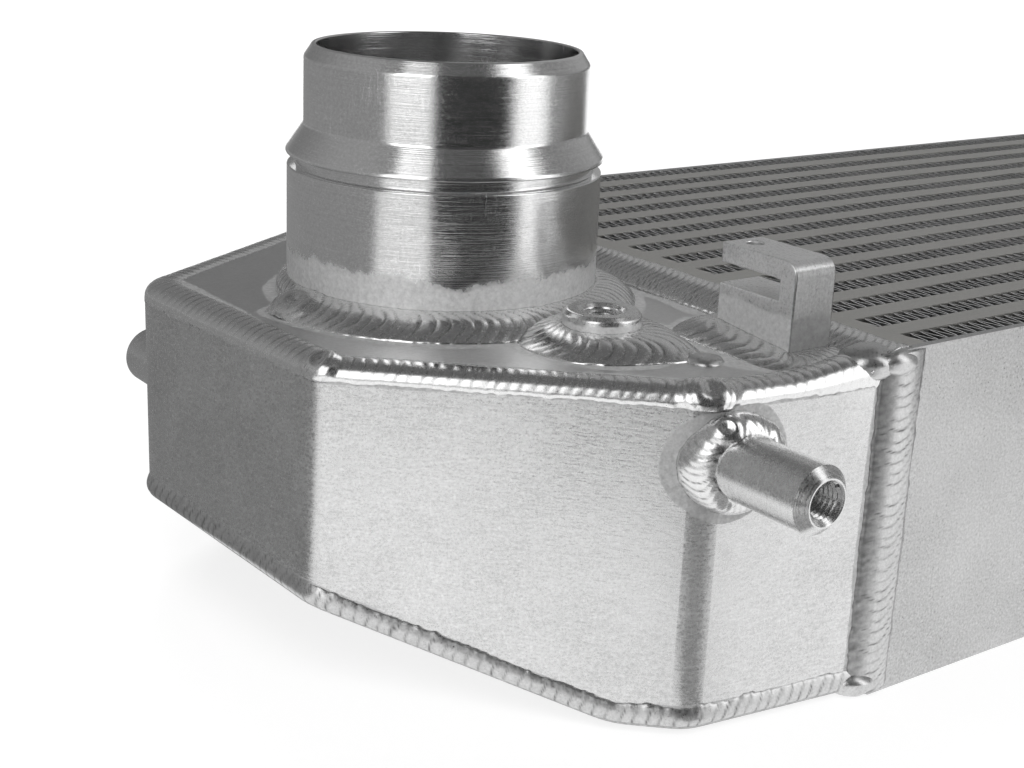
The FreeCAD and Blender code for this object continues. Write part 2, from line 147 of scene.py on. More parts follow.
def open_at_core(loop):
    """Opens a tank's outline at its straight edge along the core, near side first."""
    core_x = max(p.x for p in loop)
    on_core = [i for i, p in enumerate(loop) if core_x - p.x < 1e-5]
    near = min(on_core, key=lambda i: loop[i].y)
    far = max(on_core, key=lambda i: loop[i].y)
    turned = loop[near:] + loop[:near]
    if (far - near) % len(loop) == 1:
        turned = [turned[0]] + turned[:0:-1]
    return [p for p in turned if core_x - p.x >= 1e-5 or p in (loop[near], loop[far])]


def downwards(face):
    """Whether a face looks down, as the floor's underside does."""
    return face.normal.z < -0.5


lid_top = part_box("inlet_top_plate")[1][2]
floor_edge = open_at_core(outline("inlet_bottom_plate", downwards))
lid_edge = [Vector((p.x, p.y, lid_top)) for p in floor_edge]
print("outline points:", len(lid_edge), "lid top:", round(lid_top, 4))

# %% [markdown]
# ## Places read off the solids
#
# Every fitting has its middle, and the bare sheets of the tank are kept as one search tree.
# A bead can then ask for the nearest place on the metal, however the wall is bent there.

# %% Places read off the solids
def corners(name):
    """A solid's lowest and highest corner."""
    return [Vector(corner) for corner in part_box(name)]


def middle(name):
    """The centre of a solid's box."""
    return sum(corners(name), Vector()) / 2


def mesh_from(bm, name):
    """Turns a bmesh into a mesh and frees it."""
    mesh = bpy.data.meshes.new(name)
    bm.to_mesh(mesh)
    bm.free()
    return mesh


def sheet_tree(names):
    """A search tree of the faces of several solids."""
    shell = bmesh.new()
    for name in names:
        piece = mesh_from(merged_copy(name), "shell")
        shell.from_mesh(piece)
        bpy.data.meshes.remove(piece)
    tree = BVHTree.FromBMesh(shell)
    shell.free()
    return tree


core_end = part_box("tube_bars")[0][0]
core_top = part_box("tube_bars")[1][2]
core_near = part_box("near_side_plate")[0][1]
neck_at = middle("inlet_neck")
bung_at = middle("inlet_bung")
near_peg_at = middle("inlet_near_peg")
bracket_low, bracket_high = corners("inlet_bracket")
sheets = sheet_tree(("inlet_tank_wall", "inlet_top_plate", "inlet_bottom_plate"))
print("neck centre:", [round(v, 4) for v in neck_at], "core end:", round(core_end, 4))

# %% [markdown]
# ## Pieces
#
# A finished piece stays at the origin with its place in its mesh. It rides the one body,
# takes its finish, and hides the plain solid that it stands for.

# %% Pieces
def new_object(name, mesh):
    """Links a mesh as an object at the origin."""
    obj = bpy.data.objects.new(name, mesh)
    bpy.context.scene.collection.objects.link(obj)
    return obj


def as_piece(obj, finish, replaced=None):
    """Makes an object a piece of the intercooler."""
    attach(obj, "root")
    obj.data.materials.append(finish)
    if replaced:
        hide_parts(replaced)
    return obj


def mirror_mesh(bm):
    """Folds a mesh over to the outlet's side and keeps its faces outwards."""
    bmesh.ops.scale(bm, vec=(-1, 1, 1), verts=bm.verts)
    bmesh.ops.reverse_faces(bm, faces=bm.faces)


def along_list(points, share):
    """A point on an evenly spaced list at a share of its length."""
    at = share * (len(points) - 1)
    low = min(int(at), len(points) - 2)
    return points[low].lerp(points[low + 1], at - low)


def resample(points, step):
    """The same path with points an even step apart."""
    lengths = [(b - a).length for a, b in zip(points, points[1:])]
    total = sum(lengths)
    count = max(2, round(total / step))
    even = []
    run, index = 0.0, 0
    for i in range(count + 1):
        target = total * i / count
        while index < len(lengths) - 1 and run + lengths[index] < target:
            run += lengths[index]
            index += 1
        share = (target - run) / lengths[index] if lengths[index] else 0.0
        even.append(points[index].lerp(points[index + 1], min(1.0, share)))
    return even


print("piece tools ready")

# %% [markdown]
# ## Sums in shader nodes
#
# Every finish is worked out by nodes. Short helpers keep the network readable as a formula.

# %% Sums in shader nodes
def add(tree, kind, **settings):
    """Adds a shader node and sets its options."""
    made = tree.nodes.new("ShaderNode" + kind)
    for key, value in settings.items():
        setattr(made, key, value)
    return made


def feed(tree, socket, value):
    """Links a socket to another one, or sets its constant."""
    if isinstance(value, bpy.types.NodeSocket):
        tree.links.new(value, socket)
    else:
        socket.default_value = value


def maths(tree, operation, *values):
    """One step of arithmetic."""
    made = add(tree, "Math", operation=operation)
    for socket, value in zip(made.inputs, values):
        feed(tree, socket, value)
    return made.outputs[0]


def step_up(tree, value, low, high):
    """Rises smoothly from 0 to 1 between two values, or falls where the first is the larger."""
    made = add(tree, "MapRange", interpolation_type="SMOOTHSTEP")
    feed(tree, made.inputs["Value"], value)
    limits = {"From Min": min(low, high), "From Max": max(low, high),
              "To Min": low > high, "To Max": low < high}
    for label, limit in limits.items():
        made.inputs[label].default_value = float(limit)
    return made.outputs["Result"]


def band(tree, value, low, high, soft):
    """A mask that is 1 between two values, with soft edges."""
    rise = step_up(tree, value, low - soft, low + soft)
    fall = step_up(tree, value, high + soft, high - soft)
    return maths(tree, "MULTIPLY", rise, fall)


def blend(tree, share, first, second):
    """A number between two others."""
    made = add(tree, "Mix", data_type="FLOAT")
    for socket, value in zip((made.inputs[0], made.inputs[2], made.inputs[3]), (share, first, second)):
        feed(tree, socket, value)
    return made.outputs[0]


def along(tree, vector, axis):
    """How far a vector reaches along an axis."""
    made = add(tree, "VectorMath", operation="DOT_PRODUCT")
    feed(tree, made.inputs[0], vector)
    made.inputs[1].default_value = axis
    return made.outputs["Value"]


def empty_material(name):
    """A material without nodes but its output."""
    material = bpy.data.materials.new(name)
    material.use_nodes = True
    material.node_tree.nodes.clear()
    material.cycles.emission_sampling = "NONE"
    return material, material.node_tree, add(material.node_tree, "OutputMaterial")


print("node helpers ready")

# %% [markdown]
# ## The floor
#
# A white studio floor still takes the object's shadow. Its colour alone would need strong
# lamps, which would burn the metal out, so it glows for the rays that see it. The lamps
# reach the far floor less, so the glow rises there.

# %% The floor
floor_grey = (0.36, 0.36, 0.36, 1)
floor_size = 14.0
near_glow, far_glow = 0.76, 0.94


def seen_white(tree):
    """1 for the rays that see the background: the camera's, and those off metal and glass."""
    path = add(tree, "LightPath")
    rays = maths(tree, "MAXIMUM", path.outputs["Is Camera Ray"], path.outputs["Is Glossy Ray"])
    return maths(tree, "MAXIMUM", rays, path.outputs["Is Transmission Ray"])


def pale_floor():
    """A matt grey with a glow for the rays that see the background."""
    material, tree, out = empty_material("pale_floor")
    matt = add(tree, "BsdfDiffuse")
    matt.inputs["Color"].default_value = floor_grey
    shine = add(tree, "Emission")
    length = add(tree, "VectorMath", operation="LENGTH")
    feed(tree, length.inputs[0], add(tree, "TexCoord").outputs["Object"])
    even = blend(tree, step_up(tree, length.outputs["Value"], 0.5, 2.0), near_glow, far_glow)
    feed(tree, shine.inputs["Strength"], maths(tree, "MULTIPLY", seen_white(tree), even))
    both = add(tree, "AddShader")
    tree.links.new(matt.outputs[0], both.inputs[0])
    tree.links.new(shine.outputs[0], both.inputs[1])
    tree.links.new(both.outputs[0], out.inputs["Surface"])
    return material


floor_mesh = bmesh.new()
bmesh.ops.create_grid(floor_mesh, x_segments=1, y_segments=1, size=floor_size / 2)
floor = new_object("floor", mesh_from(floor_mesh, "floor"))
floor.data.materials.append(pale_floor())
floor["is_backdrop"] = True
print("floor:", floor_size, "m wide")

# %% [markdown]
# ## A tent for the metal
#
# Bright metal shows what stands around it, so a studio for metal is mostly about what the
# metal can see. Half a ball of cloth stands on the floor round the neck, with two tall
# bright stripes left and right of the camera and a dark gap between them. They draw the
# stripes on the round neck. Only the metal sees the tent, so the background stays white.

# %% A tent for the metal
toward_camera = camera_place - neck_at
toward_camera.z = 0
toward_camera.normalize()
to_its_right = Vector((-toward_camera.y, toward_camera.x, 0))
dark_gap = (-12.0, 55.0, 2.5, 0.055)
left_stripe = (-44.0, -12.0, 2.5, 1.9)
right_stripe = (56.0, 84.0, 3.0, 1.8)


def tent_level(tree):
    """The tent's brightness by direction: stripes across, darker at the back and above."""
    direction = add(tree, "VectorMath", operation="NORMALIZE")
    feed(tree, direction.inputs[0], add(tree, "TexCoord").outputs["Object"])
    ahead, aside, up = (along(tree, direction.outputs[0], axis)
                        for axis in (toward_camera, to_its_right, UP))
    turn = maths(tree, "MULTIPLY", maths(tree, "ARCTAN2", aside, ahead), 180 / math.pi)
    rise = maths(tree, "MULTIPLY", maths(tree, "ARCSINE", up), 180 / math.pi)
    behind = step_up(tree, maths(tree, "ABSOLUTE", turn), 90.0, 150.0)
    right_side = step_up(tree, turn, 70.0, 100.0)
    level = blend(tree, right_side, 0.30, 0.22)
    level = blend(tree, maths(tree, "MULTIPLY", behind, right_side), level, 0.16)
    back_wall = maths(tree, "MULTIPLY", step_up(tree, rise, 2.0, 10.0), behind)
    level = blend(tree, back_wall, level, blend(tree, right_side, 0.19, 0.34))
    for start, end, soft, glow in (dark_gap, left_stripe, right_stripe):
        level = blend(tree, band(tree, turn, start, end, soft), level, glow)
    return blend(tree, step_up(tree, rise, 50.0, 64.0), level, 0.13)


def glowing(name, level):
    """A reflector's finish: an even level, or one worked out from the direction."""
    material, tree, out = empty_material(name)
    shine = add(tree, "Emission")
    feed(tree, shine.inputs["Strength"], level(tree) if callable(level) else level)
    tree.links.new(shine.outputs[0], out.inputs["Surface"])
    return material


def for_metal_only(name, bm, centre, level):
    """A reflector round a place that only the rays off metal can see."""
    obj = new_object(name, mesh_from(bm, name))
    obj.data.materials.append(glowing(name, level))
    obj.location = (centre.x, centre.y, 0)
    obj.visible_camera = False
    obj.visible_diffuse = False
    obj.visible_shadow = False
    obj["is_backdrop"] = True


cloth = bmesh.new()
bmesh.ops.create_uvsphere(cloth, u_segments=64, v_segments=32, radius=2.6)
bmesh.ops.delete(cloth, geom=[v for v in cloth.verts if v.co.z < -0.01], context="VERTS")
for_metal_only("tent", cloth, neck_at, tent_level)
print("stripes:", left_stripe, right_stripe)

# %% [markdown]
# ## Cards on the floor
#
# The slanting walls and the wide faces of the tank look down at the floor. Grey and dark
# cards lie there to keep them from going white, each a sector of a ring round the neck or
# round the near bend. A card is a short line that is spun about the upright axis.

# %% Cards on the floor
def floor_card(name, centre, turn, reach, level):
    """A card that lies on the floor, as a sector of a ring round a place."""
    bm = bmesh.new()
    first = Matrix.Rotation(math.radians(turn[0]), 3, "Z") @ toward_camera
    ends = [bm.verts.new(first * distance + UP * MM) for distance in reach]
    edge = bm.edges.new(ends)
    bmesh.ops.spin(bm, geom=[*ends, edge], cent=(0, 0, 0), axis=UP, steps=24,
                   angle=math.radians(turn[1] - turn[0]))
    for_metal_only(name, bm, centre, level)


beyond_core = [p for p in lid_edge if p.y < 0 and p.x < core_end - 30 * MM]
near_bend = max(beyond_core, key=lambda p: p.x - 2.2 * p.y)
floor_card("front_card", neck_at, turn=(-8.0, 54.0), reach=(0.30, 2.5), level=0.03)
floor_card("bend_card", near_bend, turn=(-7.0, 54.0), reach=(0.008, 0.26), level=0.33)
floor_card("pale_card", neck_at, turn=(-47.0, -8.0), reach=(0.31, 2.5), level=0.64)
floor_card("left_card", neck_at, turn=(-165.0, -47.0), reach=(0.075, 2.5), level=0.25)
floor_card("right_card", neck_at, turn=(86.0, 150.0), reach=(0.30, 2.5), level=0.30)
print("bend card at", [round(v / MM, 1) for v in near_bend])

# %% [markdown]
# ## Backdrop and lamps
#
# The world behind is white to look at and dim as a light. Two large soft boxes give the
# shadow its direction and light the matt parts of the metal.

# %% Backdrop and lamps
world_light = 0.34
world = bpy.data.worlds.new("studio")
world.use_nodes = True
bpy.context.scene.world = world
sky = world.node_tree
sky.nodes.clear()
sky_out = add(sky, "OutputWorld")
backdrop = add(sky, "Background")
backdrop.inputs["Color"].default_value = (1, 1, 1, 1)
feed(sky, backdrop.inputs["Strength"], blend(sky, seen_white(sky), world_light, 1.0))
sky.links.new(backdrop.outputs[0], sky_out.inputs["Surface"])


def soft_box(name, place, aim, size, power):
    """A square area lamp that faces a point and that the camera and the metal don't see."""
    data = bpy.data.lights.new(name, "AREA")
    data.shape = "RECTANGLE"
    data.size = data.size_y = size
    data.energy = power
    lamp = new_object(name, data)
    direction = Vector(aim) - Vector(place)
    lamp.matrix_world = Matrix.Translation(place) @ direction.to_track_quat("-Z", "Y").to_matrix().to_4x4()
    lamp.visible_camera = False
    lamp.visible_glossy = False


soft_box("key_box", (-0.9, -1.2, 1.3), (-0.3, 0, 0.05), 1.0, 16)
soft_box("fill_box", (0.4, 0.9, 1.5), (-0.2, 0, 0.05), 1.2, 14)
print("lamps:", len(bpy.data.lights))

# %% [markdown]
# ## Tool marks
#
# It is all aluminium, and the difference lies in how each face was worked. A lathe, a saw
# or a rolling mill leaves a grain along its path. Noise that is squeezed across the path
# gives it, with soft patches and fine specks on top. All metals share it, so it is a group.

# %% Tool marks
def new_group(name, numbers, vectors, outputs):
    """An empty node group with named inputs and outputs."""
    group = bpy.data.node_groups.new(name, "ShaderNodeTree")
    for label, default in numbers.items():
        socket = group.interface.new_socket(label, in_out="INPUT", socket_type="NodeSocketFloat")
        socket.default_value = default
    for label in vectors:
        group.interface.new_socket(label, in_out="INPUT", socket_type="NodeSocketVector")
    for label in outputs:
        group.interface.new_socket(label, in_out="OUTPUT", socket_type="NodeSocketFloat")
    return group, group.nodes.new("NodeGroupInput").outputs, group.nodes.new("NodeGroupOutput").inputs


def noise_in(tree, vector, scale, detail=3.0, rough=0.55):
    """A noise value between about 0.3 and 0.7."""
    made = add(tree, "TexNoise")
    for label, value in (("Vector", vector), ("Scale", scale), ("Detail", detail), ("Roughness", rough)):
        feed(tree, made.inputs[label], value)
    return made.outputs["Fac"]


def centred(tree, value):
    """A noise value moved to swing about 0."""
    return maths(tree, "SUBTRACT", value, 0.5)


def stretched(tree, given):
    """The position, squeezed by the group's stretch."""
    made = add(tree, "VectorMath", operation="MULTIPLY")
    feed(tree, made.inputs[0], given["Position"])
    feed(tree, made.inputs[1], given["Stretch"])
    return made.outputs[0]


def make_grain():
    """Tone, roughness and height of a worked face."""
    numbers = {"Tone": 0.7, "Variation": 0.2, "Roughness": 0.3, "Spread": 0.1}
    group, given, out = new_group("tool_grain", numbers, ("Position", "Stretch"),
                                  ("Level", "Rough", "Height"))
    fine = noise_in(group, stretched(group, given), 1.0, 4.0, 0.65)
    patches = centred(group, noise_in(group, given["Position"], 45.0, 2.0))
    specks = centred(group, noise_in(group, given["Position"], 1500.0, 3.0, 0.7))
    both = maths(group, "ADD", maths(group, "MULTIPLY", centred(group, fine), 1.4),
                 maths(group, "MULTIPLY", patches, 0.8))
    both = maths(group, "MULTIPLY_ADD", specks, 2.4, both)
    swing = maths(group, "MULTIPLY", both, given["Variation"])
    feed(group, out["Level"], maths(group, "MULTIPLY", given["Tone"], maths(group, "ADD", 1.0, swing)))
    feed(group, out["Rough"], maths(group, "MULTIPLY_ADD", both, given["Spread"], given["Roughness"]))
    feed(group, out["Height"], fine)
    return group


grain_group = make_grain()
print("grain inputs:", [item.name for item in grain_group.interface.items_tree][:6])

# %% [markdown]
# ## Heat bands and scratches
#
# The heat of a weld leaves a pale matt band with a ragged edge beside each bead. The band is
# a mask over the distance to the bead's toe, which noise shifts. Handling leaves short thin
# scratches: the places where a stretched noise crosses its middle, in a few patches only.

# %% Heat bands and scratches
def make_heat_band():
    """A mask for the pale band beside a weld, from the distance to its toe."""
    group, given, out = new_group("heat_band", {"Distance": 1.0, "Width": 0.003}, ("Position",), ("Mask",))
    ragged = centred(group, noise_in(group, given["Position"], 260.0, 4.0, 0.7))
    wander = centred(group, noise_in(group, given["Position"], 45.0, 1.0))
    shift = maths(group, "MULTIPLY", maths(group, "MULTIPLY_ADD", ragged, 0.7, wander), given["Width"])
    reach = maths(group, "ADD", given["Distance"], maths(group, "MULTIPLY", shift, 1.5))
    share = maths(group, "DIVIDE", reach, given["Width"])
    feed(group, out["Mask"], step_up(group, share, 1.22, 0.82))
    return group


def make_scratches():
    """A mask of thin short scratches in one direction."""
    group, given, out = new_group("scratches", {"Amount": 0.5}, ("Position", "Stretch"), ("Mask",))
    lines = centred(group, noise_in(group, stretched(group, given), 1.0, 2.0, 0.4))
    thin = step_up(group, maths(group, "ABSOLUTE", lines), 0.012, 0.004)
    some = step_up(group, noise_in(group, given["Position"], 90.0, 2.0), 0.56, 0.64)
    feed(group, out["Mask"], maths(group, "MULTIPLY", maths(group, "MULTIPLY", thin, some), given["Amount"]))
    return group


def use_group(tree, group, **values):
    """Places a shared effect in a material, with its own values."""
    made = add(tree, "Group")
    made.node_tree = group
    for label, value in values.items():
        feed(tree, made.inputs[label], value)
    return made.outputs


heat_group = make_heat_band()
scratch_group = make_scratches()
print("shared effects:", sorted(group.name for group in bpy.data.node_groups))

# %% [markdown]
# ## Distances to the welds
#
# Each heat band follows a weld, so a material measures how far a place is from the toe of
# the nearest bead. The distances come from the object's own coordinates. Both tanks share
# them, because the outlet's side is first folded over to the inlet's.

# %% Distances to the welds
def away_from(tree, position, centre, flat_axis):
    """The distance from a line through a centre along one axis."""
    keep = Vector((1, 1, 1))
    keep[flat_axis] = 0
    flat = add(tree, "VectorMath", operation="MULTIPLY")
    feed(tree, flat.inputs[0], position)
    flat.inputs[1].default_value = keep
    gap = add(tree, "VectorMath", operation="DISTANCE")
    feed(tree, gap.inputs[0], flat.outputs[0])
    gap.inputs[1].default_value = Vector(centre) * keep
    return gap.outputs["Value"]


def within_plane(tree, position, point, out):
    """How far inside a plane a place lies, for a plane through a point facing outwards."""
    return maths(tree, "SUBTRACT", Vector(point).dot(out), along(tree, position, out))


def less(tree, distance, toe):
    """A distance measured from a bead's toe, which is given in millimetres."""
    return maths(tree, "SUBTRACT", distance, toe * MM)


def nearest(tree, distances):
    """The smallest of several distances."""
    least = distances[0]
    for distance in distances[1:]:
        least = maths(tree, "MINIMUM", least, distance)
    return least


def split(tree, vector):
    """The three parts of a vector."""
    parts = add(tree, "SeparateXYZ")
    feed(tree, parts.inputs[0], vector)
    return parts.outputs


def on_inlet_side(tree, position):
    """The same place folded over to the inlet's side."""
    x, y, z = split(tree, position)
    joined = add(tree, "CombineXYZ")
    feed(tree, joined.inputs[0], maths(tree, "MULTIPLY", maths(tree, "ABSOLUTE", x), -1.0))
    feed(tree, joined.inputs[1], y)
    feed(tree, joined.inputs[2], z)
    return joined.outputs[0]


def slants(run):
    """Whether a straight run of the lid's outline is long and lies across both axes."""
    return min(abs(run[1].x - run[0].x), abs(run[1].y - run[0].y)) > 20 * MM


near_half = [p for p in lid_edge if p.y < neck_at.y]
slant_start, slant_end = max(filter(slants, zip(near_half, near_half[1:])),
                             key=lambda run: (run[1] - run[0]).length)
slant_along = slant_end - slant_start
slant_out = Vector((slant_along.y, -slant_along.x, 0)).normalized()
if slant_out.x > 0:
    slant_out = -slant_out
print("slanting wall:", round(slant_along.length / MM, 1), "mm long")

# %% [markdown]
# ## Heat on the lid and the wall
#
# The lid lies between the beads of the neck, the bung and the bracket and the seams at its
# edges. The wall has a seam above and below, the core's bead at its end and the near peg.
# The floor rises towards the end face, and the lower seam rises with it.

# %% Heat on the lid and the wall
neck_toe, bung_toe, foot_toe = 48.5, 19.5, 22.0
slant_toe, end_toe, core_toe = 6.0, 8.5, 9.5
top_toe, low_toe, side_toe, peg_toe = 3.2, 4.5, 6.8, 12.9
narrow_at_back = 8.0 * MM
floor_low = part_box("inlet_bottom_plate")[0][2]
fold_x = core_end - 63.0 * MM
floor_slope = math.tan(math.radians(24.0))
tank_end_x = min(p.x for p in lid_edge)
to_core, to_tank_end, to_far = Vector((1, 0, 0)), Vector((-1, 0, 0)), Vector((0, 1, 0))


def lid_heat(tree, position):
    """Distance on the lid to the nearest bead."""
    folded = on_inlet_side(tree, position)
    away = away_from(tree, folded, neck_at, 2)
    beyond = maths(tree, "MULTIPLY", within_plane(tree, folded, neck_at, to_far), -1.0)
    back = step_up(tree, maths(tree, "DIVIDE", beyond, away), 0.02, 0.18)
    foot_at = (bracket_low + bracket_high) / 2
    return nearest(tree, (
        less(tree, maths(tree, "MULTIPLY_ADD", back, narrow_at_back, away), neck_toe),
        less(tree, away_from(tree, position, bung_at, 2), bung_toe),
        less(tree, away_from(tree, position, foot_at, 2), foot_toe),
        less(tree, within_plane(tree, folded, slant_start, slant_out), slant_toe),
        less(tree, within_plane(tree, folded, (tank_end_x, 0, 0), to_tank_end), end_toe),
        less(tree, within_plane(tree, folded, (core_end, 0, 0), to_core), core_toe)))


def wall_heat(tree, position):
    """Distance on the wall to the nearest bead."""
    folded = on_inlet_side(tree, position)
    x, _, z = split(tree, folded)
    beyond = maths(tree, "MAXIMUM", maths(tree, "SUBTRACT", fold_x, x), 0.0)
    ground = maths(tree, "MULTIPLY_ADD", beyond, floor_slope, floor_low + low_toe * MM)
    return nearest(tree, (
        within_plane(tree, folded, (0, 0, lid_top - top_toe * MM), UP),
        maths(tree, "SUBTRACT", z, ground),
        less(tree, within_plane(tree, folded, (core_end, 0, 0), to_core), side_toe),
        less(tree, away_from(tree, folded, near_peg_at, 1), peg_toe)))


def above_lid(height):
    """Measures how high a place lies above a fillet of this height."""
    def gap(tree, position):
        inside = within_plane(tree, position, (0, 0, lid_top + height * MM), UP)
        return maths(tree, "MULTIPLY", inside, -1.0)
    return gap


def painted_bracket_shade(tree, position):
    """The bracket's front face is painted darker than its other faces, as painted shade."""
    depth = within_plane(tree, position, (0, bracket_low.y + 0.6 * MM, 0), to_far)
    return blend(tree, step_up(tree, depth, 0.0, 0.3 * MM), 1.0, 0.42)


print("floor rises from", round(fold_x / MM, 1), "mm")

# %% [markdown]
# ## One recipe for the metals
#
# A metal is a tone and a roughness, both with a swing from the tool marks. Scratches, heat
# bands, the pebbles of a brazing furnace, a painted shade on one face and a painted shade in
# a bead's creases are laid over it where a piece has them. Only the last step, the shader,
# belongs to the material itself.

# %% One recipe for the metals
def tinted(tree, level, tint):
    """A grey level as a faintly tinted colour."""
    made = add(tree, "VectorMath", operation="SCALE")
    made.inputs[0].default_value = tint
    feed(tree, made.inputs["Scale"], level)
    return made.outputs[0]


def under_heat(tree, shader, position, level, rough, gap, width=2.5, tone=0.82, metallic=0.4):
    """Lays the pale band over a metal. gap measures the distance to the nearest toe."""
    mask = use_group(tree, heat_group, Position=position, Distance=gap(tree, position),
                     Width=width * MM)["Mask"]
    speckle = maths(tree, "MULTIPLY_ADD", noise_in(tree, position, 900.0, 5.0, 0.7), 0.7, tone - 0.35)
    feed(tree, shader.inputs["Metallic"], blend(tree, mask, 1.0, metallic))
    return blend(tree, mask, level, speckle), blend(tree, mask, rough, 0.5)


def metal(name, stretch, tone, rough, bump, tint=(1, 1, 1), scratch=0.3, crease_shade=False, pebbles=0.0,
          heat=None, shade=None):
    """A worked aluminium face. tone and rough are a level and its swing, bump is in millimetres."""
    material = bpy.data.materials.new(name)
    material.use_nodes = True
    tree = material.node_tree
    shader = tree.nodes["Principled BSDF"]
    shader.inputs["Metallic"].default_value = 1.0
    position = add(tree, "TexCoord").outputs["Object"]
    grain = use_group(tree, grain_group, Position=position, Stretch=stretch, Tone=tone[0],
                      Variation=tone[1], Roughness=rough[0], Spread=rough[1])
    marks = use_group(tree, scratch_group, Position=position, Amount=scratch,
                      Stretch=tuple(v * 0.55 + 60 for v in stretch[::-1]))["Mask"]
    level = maths(tree, "MULTIPLY_ADD", marks, 0.25, grain["Level"])
    rough_now = maths(tree, "MULTIPLY_ADD", marks, 0.15, grain["Rough"])
    height = maths(tree, "MULTIPLY", grain["Height"], bump * MM)
    if pebbles:
        cells = add(tree, "TexVoronoi", feature="SMOOTH_F1")
        feed(tree, cells.inputs["Vector"], position)
        cells.inputs["Scale"].default_value = 2200.0
        height = maths(tree, "MULTIPLY_ADD", cells.outputs["Distance"], pebbles * MM, height)
    if heat:
        level, rough_now = under_heat(tree, shader, position, level, rough_now, **heat)
    # Painted shade: a darker tone on one face, where a piece asks for it.
    if shade:
        level = maths(tree, "MULTIPLY", level, shade(tree, position))
    # Painted shade: darker, and rougher, where the bead's mesh marks its creases and shadowed toes.
    if crease_shade:
        dark = add(tree, "Attribute", attribute_name="painted_crease_shade").outputs["Fac"]
        level = maths(tree, "MULTIPLY", level, maths(tree, "MULTIPLY_ADD", dark, -0.7, 1.0))
        rough_now = maths(tree, "MULTIPLY_ADD", dark, 0.25, rough_now)
    feed(tree, shader.inputs["Base Color"], tinted(tree, level, tint))
    feed(tree, shader.inputs["Roughness"], maths(tree, "MAXIMUM", rough_now, 0.08))
    relief = add(tree, "Bump")
    relief.inputs["Strength"].default_value = 1.0
    relief.inputs["Distance"].default_value = 1.0
    feed(tree, relief.inputs["Height"], height)
    feed(tree, shader.inputs["Normal"], relief.outputs["Normal"])
    return material


print("metal recipe ready")

# %% [markdown]
# ## The metals
#
# The stretch says which way the tool went: a high number packs the grain tight along that
# axis. Turned rings lie level on the upright neck, so their grain is tight along z. Fresh
# weld metal is the smoothest and brightest, and brazed plate the roughest. The weld also has
# a darker, rougher copy, and its darker tone is painted shade.

# %% The metals
weld_metal = metal("weld", (700, 700, 700), (0.82, 0.14), (0.23, 0.12), 0.02, crease_shade=True, scratch=0.0)
# Painted shade: a darker copy of the weld for beads and blobs in shade. It is also rougher.
rough_shaded_weld = metal("rough_shaded_weld", (800, 800, 800), (0.62, 0.3), (0.33, 0.14), 0.04, crease_shade=True, scratch=0.0)
wall_metal = metal("rolled_sheet", (330, 330, 1700), (0.68, 0.36), (0.28, 0.16), 0.07,
                   heat={"gap": wall_heat, "width": 0.9, "tone": 0.58, "metallic": 0.65})
lid_metal = metal("dull_sheet", (500, 700, 500), (0.76, 0.16), (0.36, 0.10), 0.03,
                  heat={"gap": lid_heat, "tone": 0.72, "metallic": 0.75})
turned_metal = metal("turned", (25, 25, 5200), (0.84, 0.18), (0.15, 0.08), 0.03, scratch=0.6,
                     heat={"gap": above_lid(5), "width": 6.0})
peg_metal = metal("turned_peg", (25, 3600, 25), (0.74, 0.26), (0.27, 0.14), 0.03, scratch=0.5)
bung_metal = metal("turned_bung", (25, 25, 3000), (0.74, 0.24), (0.3, 0.12), 0.03,
                   heat={"gap": above_lid(4), "width": 1.5})
sawn_metal = metal("sawn_bar", (2600, 300, 300), (0.94, 0.45), (0.36, 0.16), 0.10, shade=painted_bracket_shade,
                   heat={"gap": above_lid(5), "width": 4.0})
bar_metal = metal("brazed_bar", (120, 900, 900), (0.62, 0.16), (0.42, 0.1), 0.03, tint=(1, 0.99, 0.95))
plate_metal = metal("brazed_plate", (1300, 1300, 1300), (0.56, 0.55), (0.42, 0.3), 0.05, pebbles=0.04)
# Painted shade: the fins' faces are toned dark, partly their own grey and partly the shade between the folds.
shaded_fin_metal = metal("fin_strip", (400, 400, 400), (0.46, 0.25), (0.34, 0.15), 0.02)
# Painted highlight: the fins' cut edges get a lighter, less metallic copy.
fin_edge_highlight = metal("fin_edge_highlight", (400, 400, 400), (0.9, 0.3), (0.4, 0.2), 0.02)
fin_edge_highlight.node_tree.nodes["Principled BSDF"].inputs["Metallic"].default_value = 0.45
finishes = {"inlet_top_plate": lid_metal, "outlet_top_plate": lid_metal, "inlet_neck": turned_metal,
            "outlet_neck": turned_metal, "inlet_bung": bung_metal, "inlet_bracket": sawn_metal,
            "near_side_plate": plate_metal, "far_side_plate": plate_metal}
by_slot = {"core_aluminium": bar_metal, "fin_aluminium": shaded_fin_metal, "tank_aluminium": wall_metal,
           "machined_aluminium": peg_metal, "weld_aluminium": weld_metal}
for part in frame["record"]["subparts"]:
    slots = nodes[part["node"]].data.materials
    slots.clear()
    slots.append(finishes.get(part["node"], by_slot[part["material_slot"]]))
print("metals:", len([m for m in bpy.data.materials if m.use_nodes]))

# %% [markdown]
# ## Scales of a bead
#
# A bead laid by hand is a row of frozen puddles. Each puddle leaves a crescent, a row of
# them leaves the scales, and a place where the welder stopped leaves a round blob with rings
# and a crater. Each is a height over the smooth bead, with a painted shade in its creases.

# %% Scales of a bead
station_step = 0.35 * MM
sink = 0.15 * MM


def clamp(share):
    """A share kept between 0 and 1."""
    return max(0.0, min(1.0, share))


def eased(share):
    """A share kept between 0 and 1 and eased at both ends."""
    share = clamp(share)
    return share * share * (3 - 2 * share)


def smooth_noise(point, scale, seed):
    """A smooth random value between -1 and 1 at a place."""
    return noise.noise(Vector(point) * scale + Vector((seed * 7.3, seed * 3.1, seed * 5.7)))


def hump(phase):
    """A rounded hump in each whole step, with a sharp valley between two."""
    return 1 - (2 * (phase % 1.0) - 1) ** 2


